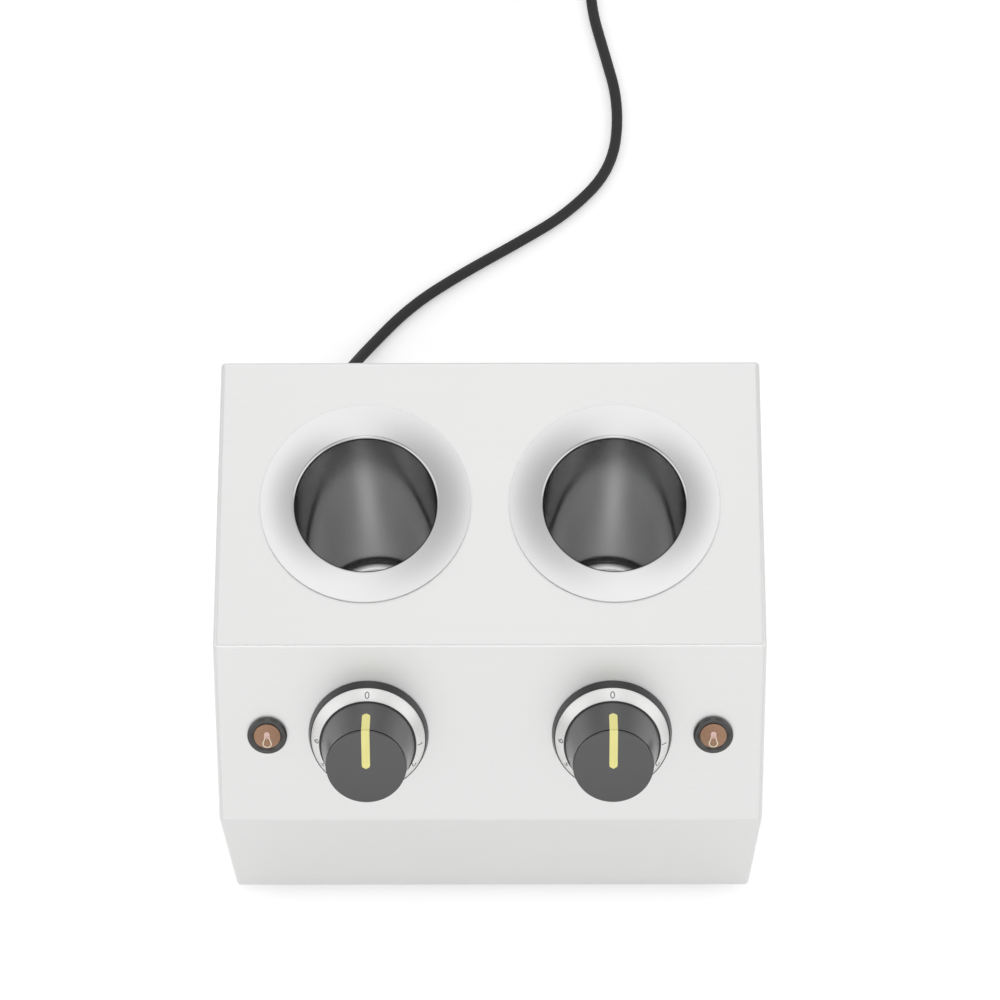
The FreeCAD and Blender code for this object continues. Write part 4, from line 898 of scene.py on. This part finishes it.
def makeGlowTip(side):
    tip, neck = glow["tipWidth"] / 2, glow["neck"]
    ring = loop(0, glow["tipTop"] - tip, tip, tip, 0, 180, steps=12) + [(-tip, neck), (tip, neck)]
    made = bmesh.new()
    middle = made.verts.new(lensPoint(0, (glow["tipTop"] + neck) / 2))
    joinRings(made, [middle], [made.verts.new(lensPoint(x, y)) for x, y in ring])
    mesh = finishMesh(f"{side}_lamp_tip", made)
    addPiece(mesh, "warmer", "amber_lens", (), lampFrame(side), prints["glowTip"])


for side in sides:
    makeWell(side)
    makeKnob(side)
    makeKnobShadowRing(side)
    makePointer(side)
    makeBezel(side)
    makeDial(side)
    makeDialPrint(side)
    makeLamp(side)
    makeLens(side)
    makeGlowLoop(side)
    makeGlowTip(side)
print("wells, knobs and lamps made")

# The lead and what it carries. It leaves the back wall at this spot.
exitSpot = Vector((nodeMiddle("cord_gland").x, housingHigh.y, nodeMiddle("cord_gland").z))
gland = {
    "thread": 7.5,
    "flange": 10,
    "flangeHeight": 3,
    "flangeDraft": 0.01,
    "cap": 8.5,
    "capHeight": 6,
    "capEdge": 1,
    "bore": 3.3,
    "sleeveRoot": 6.25,
    "sleeveTip": 4.65,
    "sleeve": 28,
    "ribs": 7,
    "groove": 0.55,
    "edge": 0.5,
    "flutes": 18,
    "fluteDepth": 0.45,
    "fluteInset": 0.1,
    "fluteSteps": 4,
    "segments": 144,
    "sharp": 40,
}
ribSteps = 8  # points along one rib of a sleeve


def ribbedSleeve(start, length, root, tip, ribs, groove):
    # tapered sleeve with rounded grooves round it, which let it bend
    line = []
    steps = ribs * ribSteps
    for step in range(steps + 1):
        share = step / steps
        wave = 0.5 - 0.5 * math.cos(math.tau * share * ribs)
        line.append((root + (tip - root) * share - groove * wave**2, start + length * share))
    return line


def fluteDepth(radius, height, angle):
    # grip flutes round the gland's cap
    edge, foot = gland["edge"], gland["flangeHeight"]
    onCap = foot + edge < height < foot + gland["capHeight"] - edge and radius > gland["cap"] - edge
    return gland["fluteDepth"] * max(math.cos(gland["flutes"] * angle), 0) if onCap else 0


def makeGland():
    # points along its own axis, away from the back wall
    edge, rounding, foot = gland["edge"], gland["capEdge"], gland["flangeHeight"]
    cap = foot + gland["capHeight"]
    inside = nodeBox("cord_gland")[0].y - housingHigh.y
    low, high = foot + edge + gland["fluteInset"], cap - edge - gland["fluteInset"]
    steps = gland["fluteSteps"]
    profile = [
        (gland["bore"], inside),
        (gland["thread"], inside),
        (gland["thread"], 0),
        (gland["flange"] - gland["flangeDraft"], 0),
        *arc(gland["flange"] - edge, foot - edge, edge, 0, 90, steps=4),
        (gland["cap"], foot),
        (gland["cap"], foot + edge),
        *[(gland["cap"], low + (high - low) * step / steps) for step in range(steps + 1)],
        *arc(gland["cap"] - rounding, cap - rounding, rounding, 0, 90, steps=5),
        *ribbedSleeve(cap, gland["sleeve"], gland["sleeveRoot"], gland["sleeveTip"], gland["ribs"],
                      gland["groove"]),
        (gland["bore"], cap + gland["sleeve"]),
    ]
    mesh = lathe("gland_body", profile, gland, fluteDepth)
    turn = Matrix.Translation(exitSpot * mm) @ Matrix.Rotation(-math.pi / 2, 4, "X")
    return addPiece(mesh, "warmer", "gland_nylon", ["cord_gland"], turn)


plug = {
    "radius": 18.5,
    "length": 38,
    "shoulder": 14,
    "shoulderBow": 0.28,
    "shoulderSteps": 10,
    "neck": 8,
    "sleeve": 22,
    "sleeveRoot": 4.65,
    "sleeveWall": 1.4,
    "sleeveMouth": 0.3,
    "ribs": 6,
    "groove": 0.5,
    "edge": 1.4,
    "grips": 20,
    "gripDepth": 0.7,
    "gripRun": (3, 17),
    "gripFade": 2,
    "gripInset": 0.1,
    # rings along the grip: place of the first, distance and number
    "gripRings": (2, 0.8, 21),
    "segments": 160,
    "sharp": 40,
}


def gripDepth(radius, height, angle):
    # grip flutes round the plug, fading out at both ends
    start, end = [plug["sleeve"] + plug["shoulder"] + run for run in plug["gripRun"]]
    if radius < plug["radius"] - plug["gripInset"] or not start < height < end:
        return 0
    fade = min(height - start, end - height, plug["gripFade"]) / plug["gripFade"]
    return plug["gripDepth"] * fade * (0.5 + 0.5 * math.cos(plug["grips"] * angle)) ** 2


def plugShoulder():
    # soft rise from the neck to the full width
    low, high = plug["neck"] + plug["sleeveWall"], plug["radius"]
    start = plug["sleeve"] + plug["sleeveWall"]
    run = plug["shoulder"] - plug["sleeveWall"]
    line = []
    for step in range(plug["shoulderSteps"] + 1):
        share = step / plug["shoulderSteps"]
        bow = share + plug["shoulderBow"] * math.sin(math.pi * share) * (1 - share)
        line.append((low + (high - low) * min(bow, 1), start + run * share))
    return line


def makePlug():
    # points from the lead to its face, with the lead running into its sleeve
    low, high = nodeBox("plug")
    middle = (low + high) / 2
    face = plug["sleeve"] + plug["length"]
    edge, root, mouth = plug["edge"], plug["sleeveRoot"], plug["sleeveMouth"]
    first, pitch, count = plug["gripRings"]
    first += plug["sleeve"] + plug["shoulder"]
    profile = [
        (0, 0),
        (root - mouth, 0),
        *ribbedSleeve(mouth, plug["sleeve"] - mouth, root, root + plug["sleeveWall"], plug["ribs"],
                      plug["groove"]),
        (plug["neck"], plug["sleeve"]),
        *plugShoulder(),
        *[(plug["radius"], first + step * pitch) for step in range(count)],
        *arc(plug["radius"] - edge, face - edge, edge, 0, 90),
        (0, face),
    ]
    mesh = lathe("plug_body", profile, plug, gripDepth)
    place = Vector((high.x, middle.y, middle.z)) * mm
    turn = Matrix.Translation(place) @ Matrix.Rotation(-math.pi / 2, 4, "Y")
    made = addPiece(mesh, "warmer", "plug_vinyl", ["plug"], turn)
    cutHole(made, face)
    return made


# Socket for the earth pin, cut out of the plug's face.
earthHole = {
    "radius": 2.4,
    "depth": 14,
    "out": 9.5,
    "edge": 0.5,
    "overrun": 2,
    "segments": 32,
    "sharp": 32,
}


def cutHole(made, face):
    hole, depth, edge = earthHole["radius"], earthHole["depth"], earthHole["edge"]
    wide, top = hole + edge, depth + earthHole["overrun"]
    profile = [(0, 0), (hole, 0), (hole, depth), (wide, depth + edge), (wide, top), (0, top)]
    cutter = bpy.data.objects.new("socket", lathe("socket", profile, earthHole))
    bpy.context.scene.collection.objects.link(cutter)
    out = Vector((earthHole["out"], 0, face - depth - edge / 2)) * mm
    cutter.matrix_world = made.matrix_world @ Matrix.Translation(out)
    cut = made.modifiers.new("hole", "BOOLEAN")
    cut.object = cutter
    cut.operation = "DIFFERENCE"
    cut.solver = "EXACT"
    bpy.context.view_layer.update()
    shape = bpy.data.meshes.new_from_object(made.evaluated_get(bpy.context.evaluated_depsgraph_get()))
    made.modifiers.clear()
    made.data = shape
    shape.name = "plug_body"
    bpy.data.objects.remove(cutter)


lead = {
    "radius": 3.25,
    "reliefTip": 37,
    "leadOut": 20,
    "length": 1.73,  # metres
    # the way on the table, as in the part's source: from the place where the lead leaves the back
    "route": (
        (10.2, 75.5, 16),
        (20, 94.2, 0),
        (45.8, 122.8, 0),
        (75.8, 143.8, 0),
        (107.9, 163.1, 0),
        (139.6, 183.5, 0),
        (166.2, 213.4, 0),
        (170.5, 255.1, 0),
        (161.5, 291.5, 0),
        (153.8, 322.1, 0),
    ),
    "leadIn": 37.5,
    "coilSpot": (105.5, 390.2),
    "coilInner": 29.25,
    "coilPitch": 7,
    "coilClimb": 7,
    "coilQuarters": 21,
    "coilReverse": 10,
    "pointsPerQuarter": 3,
    "tail": ((-10.5, 0), (-21.5, 4), (-30.5, 8.1), (-40.5, 8.1)),
}


def coilMiddle():
    return exitSpot.x + lead["coilSpot"][0], exitSpot.y + lead["coilSpot"][1]


def coilPoint(step):
    # control point after a number of quarter turns, pushed out so that the curve keeps its radius
    push = 1 / math.cos(math.pi / 4 / lead["pointsPerQuarter"])
    angle = step * math.pi / 2
    radius = (lead["coilInner"] + lead["coilPitch"] * abs(step - lead["coilReverse"]) / 4) * push
    climb = min(max((step - lead["coilReverse"] + 1) / 2, 0), 1)
    height = lead["radius"] + lead["coilClimb"] * (1 - math.cos(math.pi * climb)) / 2
    x, y = coilMiddle()
    return Vector((x + radius * math.cos(angle), y + radius * math.sin(angle), height))


def leadPoints():
    tip = exitSpot + Vector((0, lead["reliefTip"], 0))
    ground = Vector((exitSpot.x, exitSpot.y, 0))
    route = [ground + Vector((x, y, max(z, lead["radius"]))) for x, y, z in lead["route"]]
    steps = lead["coilQuarters"] * lead["pointsPerQuarter"]
    coil = [coilPoint(step / lead["pointsPerQuarter"]) for step in range(steps + 1)]
    tail = [coil[-1] + Vector((x, 0, z)) for x, z in lead["tail"]]
    into = coil[0] - Vector((0, lead["leadIn"], 0))
    return [tip, tip + Vector((0, lead["leadOut"], 0)), *route, into, *coil, *tail]


# Nylon tie round the left side of the coil.
tie = {
    "width": 7.6,
    "gauge": 0.9,
    "slack": 0.5,
    "corner": 3.6,
    "head": (9.5, 10.5, 5.2),
    "headCut": 0.9,
    "tail": ((6, 0.9), (1, 1.2), (-5, 2.6), (-10, 4.8), (-13, 6.6)),
    "tipShare": 0.55,
}


def tieWay():
    # round the turns where they lie in two layers, across the lead
    x = coilMiddle()[0]
    reach = lead["radius"] + tie["slack"]
    outer = lead["coilInner"] + lead["coilPitch"] * (lead["coilReverse"] - 2) / 4
    left, right = x - outer - reach, x - lead["coilInner"] + reach
    low, high = tie["gauge"] / 2, lead["coilClimb"] + 2 * lead["radius"] + tie["slack"]
    corner = tie["corner"]
    return [
        *arc(right - corner, high - corner, corner, 0, 90),
        *arc(left + corner, high - corner, corner, 90, 180),
        *arc(left + corner, low + corner, corner, 180, 270),
        *arc(right - corner, low + corner, corner, 270, 360),
    ]


def strapSection(made, spot, way, share=1):
    # one section of the strap, a share of its width wide
    x, z = spot
    y = coilMiddle()[1]
    half, across = tie["gauge"] / 2, tie["width"] / 2 * share
    section = []
    for out, side in ((half, -across), (half, across), (-half, across), (-half, -across)):
        section.append(made.verts.new(Vector((x + way.y * out, y + side, z - way.x * out)) * mm))
    return section


def makeTie():
    made = bmesh.new()
    way = tieWay()
    around = zip(way[-1:] + way, way, way[1:] + way[:1])
    sections = [strapSection(made, spot, wayBetween(before, after)) for before, spot, after in around]
    for this, following in zip(sections, sections[1:] + sections[:1]):
        joinRings(made, this, following)

    # loose end of the strap, narrower at its tip
    left, top = min(x for x, z in way), max(z for x, z in way)
    spots = [(left + x, top + z) for x, z in tie["tail"]]
    shares = [1] * (len(spots) - 1) + [tie["tipShare"]]
    closeRow(made, [strapSection(made, *place, share) for place, share in zip(openWays(spots), shares)])

    # head that the strap runs through
    length, width, height = tie["head"]
    cut, end = tie["headCut"], length / 2
    x, y, z = left + tie["tail"][0][0], coilMiddle()[1], top + height / 2 - cut
    rings = []
    for along, inset in ((-end, cut), (cut - end, 0), (end - cut, 0), (end, cut)):
        out, up = width / 2 - inset, height / 2 - inset
        corners = (out - cut, -up), (out, cut - up), (out, up - cut), (out - cut, up)
        ring = [*corners, *[(-side, rise) for side, rise in reversed(corners)]]
        rings.append([made.verts.new(Vector((x + along, y + side, z + rise)) * mm) for side, rise in ring])
    closeRow(made, rings)
    return addPiece(finishMesh("coil_tie", made), "warmer", "gland_nylon")


def makeLead():
    points = leadPoints()
    curve = bpy.data.curves.new("power_lead", "CURVE")
    curve.dimensions = "3D"
    spline = curve.splines.new("NURBS")
    spline.points.add(len(points) - 1)
    for point, place in zip(spline.points, points):
        point.co = (*(place * mm), 1)
    spline.order_u = 3
    spline.use_endpoint_u = True
    spline.resolution_u = 8
    curve.bevel_depth = lead["radius"] * mm
    curve.bevel_resolution = 6
    curve.use_fill_caps = True
    curve.materials.append(finishes["cord_sheath"])
    piece = bpy.data.objects.new("power_lead", curve)
    bpy.context.scene.collection.objects.link(piece)
    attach(piece, "warmer")
    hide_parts("power_cord", "cord_coil")
    carried = [makePlug(), nodes["plug_pins"], makeGland(), nodes["supply_lead"], makeTie()]


makeLead()
print("lead laid")


room = {
    "floorReach": 6,
    "floorColour": (0.9, 0.9, 0.9),
    "floorRoughness": 0.7,
    "floorSeen": 0.31,
    "floorMirrored": 0.07,
    "horizon": 0.5,
    "horizonHeight": 0.25,
    # brightness of the sky from the front (-1) through overhead (0) to the back (1)
    "sky": ((-1, 1.45), (-0.7, 2.6), (-0.52, 2.6), (-0.43, 0.74), (-0.2, 0.74), (-0.02, 1.48), (0.45, 1.56),
            (1, 1.3)),
    "skyTop": 2.6,
    # share of that brightness from the middle (0) to either side (1) high up
    "aside": ((0, 1), (0.07, 0.94), (0.12, 0.72), (0.17, 0.47), (0.3, 0.38), (0.42, 0.3), (1, 0.3)),
    # brightness lower down, from the front and back (0) to either side (1), and where it ends
    "around": ((0, 1.02), (0.35, 1.02), (0.8, 0.7), (1, 0.7)),
    "aroundHeights": (0.6, 0.85),
    # softboxes: places and the spot that they face in metres, and power in watts
    "softboxPlaces": ((-1.5, -0.3, 1.1), (1.5, -0.3, 1.1)),
    "softboxAim": (0, 0, 0.1),
    "softboxPower": 5,
    "softboxWidth": 1.7,
}


def gradient(tree, source, levels):
    # grey ramp through a list of place and brightness
    ramp = addNode(tree, "ValToRGB", {"Fac": (source, 0)})
    stops = ramp.color_ramp.elements
    for number, (place, bright) in enumerate(levels):
        stop = stops[number] if number < 2 else stops.new(1)
        stop.position = place
        stop.color = (bright, bright, bright, 1)
    return ramp


def makeFloor():
    # pale floor with a faint glow of its own for the camera and for reflections
    floor = bpy.data.meshes.new("floor")
    reach = room["floorReach"]
    corners = [(-reach, -reach, 0), (reach, -reach, 0), (reach, reach, 0), (-reach, reach, 0)]
    floor.from_pydata(corners, [], [(0, 1, 2, 3)])
    material, tree, shader = newMaterial("paleFloor", room["floorColour"], 0, room["floorRoughness"])
    rays = addNode(tree, "LightPath")
    mirrored = times(tree, (rays, "Is Glossy Ray"), room["floorMirrored"])
    seen = times(tree, (rays, "Is Camera Ray"), room["floorSeen"])
    shine = addNode(tree, "Math", {0: (seen, 0), 1: (mirrored, 0)}, operation="MAXIMUM")
    tree.links.new(shine.outputs[0], shader.inputs["Emission Strength"])
    shader.inputs["Emission Color"].default_value = (1, 1, 1, 1)
    floor.materials.append(material)
    plane = bpy.data.objects.new("floor", floor)
    bpy.context.scene.collection.objects.link(plane)


def makeSky():
    # plain white for the camera; a studio's bright and dim zones for everything else
    world = bpy.data.worlds.new("studio")
    world.use_nodes = True
    bpy.context.scene.world = world
    tree = world.node_tree
    sky = tree.nodes["Background"]
    parts = addNode(tree, "SeparateXYZ", {"Vector": (addNode(tree, "TexCoord"), "Generated")})
    lift = mapRange(tree, (parts, "Z"), 0, room["horizonHeight"], room["horizon"], 1, kind="SMOOTHSTEP")

    # high up: by how far to the front or back, and how far aside
    along = mapRange(tree, (parts, "Y"), -1, 1)
    top = room["skyTop"]
    ramp = gradient(tree, along, [((place + 1) / 2, bright / top) for place, bright in room["sky"]])
    ahead = times(tree, (ramp, "Color"), top)
    side = addNode(tree, "Math", {0: (parts, "X")}, operation="ABSOLUTE")
    above = times(tree, (ahead, 0), (gradient(tree, side, room["aside"]), "Color"))

    # low down: by how far aside alone
    below = gradient(tree, side, room["around"])
    low, high = room["aroundHeights"]
    over = mapRange(tree, (parts, "Z"), low, high, kind="SMOOTHSTEP")
    level = mapRange(tree, (over, 0), 0, 1, (below, "Color"), (above, 0))
    shade = times(tree, (lift, 0), (level, 0))
    mixed = addNode(tree, "Mix", {"Factor": (addNode(tree, "LightPath"), "Is Camera Ray")}, data_type="RGBA")
    tree.links.new(shade.outputs[0], mixed.inputs["A"])
    mixed.inputs["B"].default_value = (1, 1, 1, 1)
    tree.links.new(mixed.outputs["Result"], sky.inputs["Color"])
    sky.inputs["Strength"].default_value = 1.0


def makeSoftbox(place):
    softbox = bpy.data.lights.new("softbox", "AREA")
    softbox.shape = "RECTANGLE"
    softbox.size = softbox.size_y = room["softboxWidth"]
    softbox.energy = room["softboxPower"]
    box = bpy.data.objects.new("softbox", softbox)
    box.location = place
    box.rotation_euler = (Vector(room["softboxAim"]) - box.location).to_track_quat("-Z", "Y").to_euler()
    bpy.context.scene.collection.objects.link(box)


makeFloor()
makeSky()
for place in room["softboxPlaces"]:
    makeSoftbox(place)
bpy.context.scene.view_settings.view_transform = "Standard"
print("room lit")
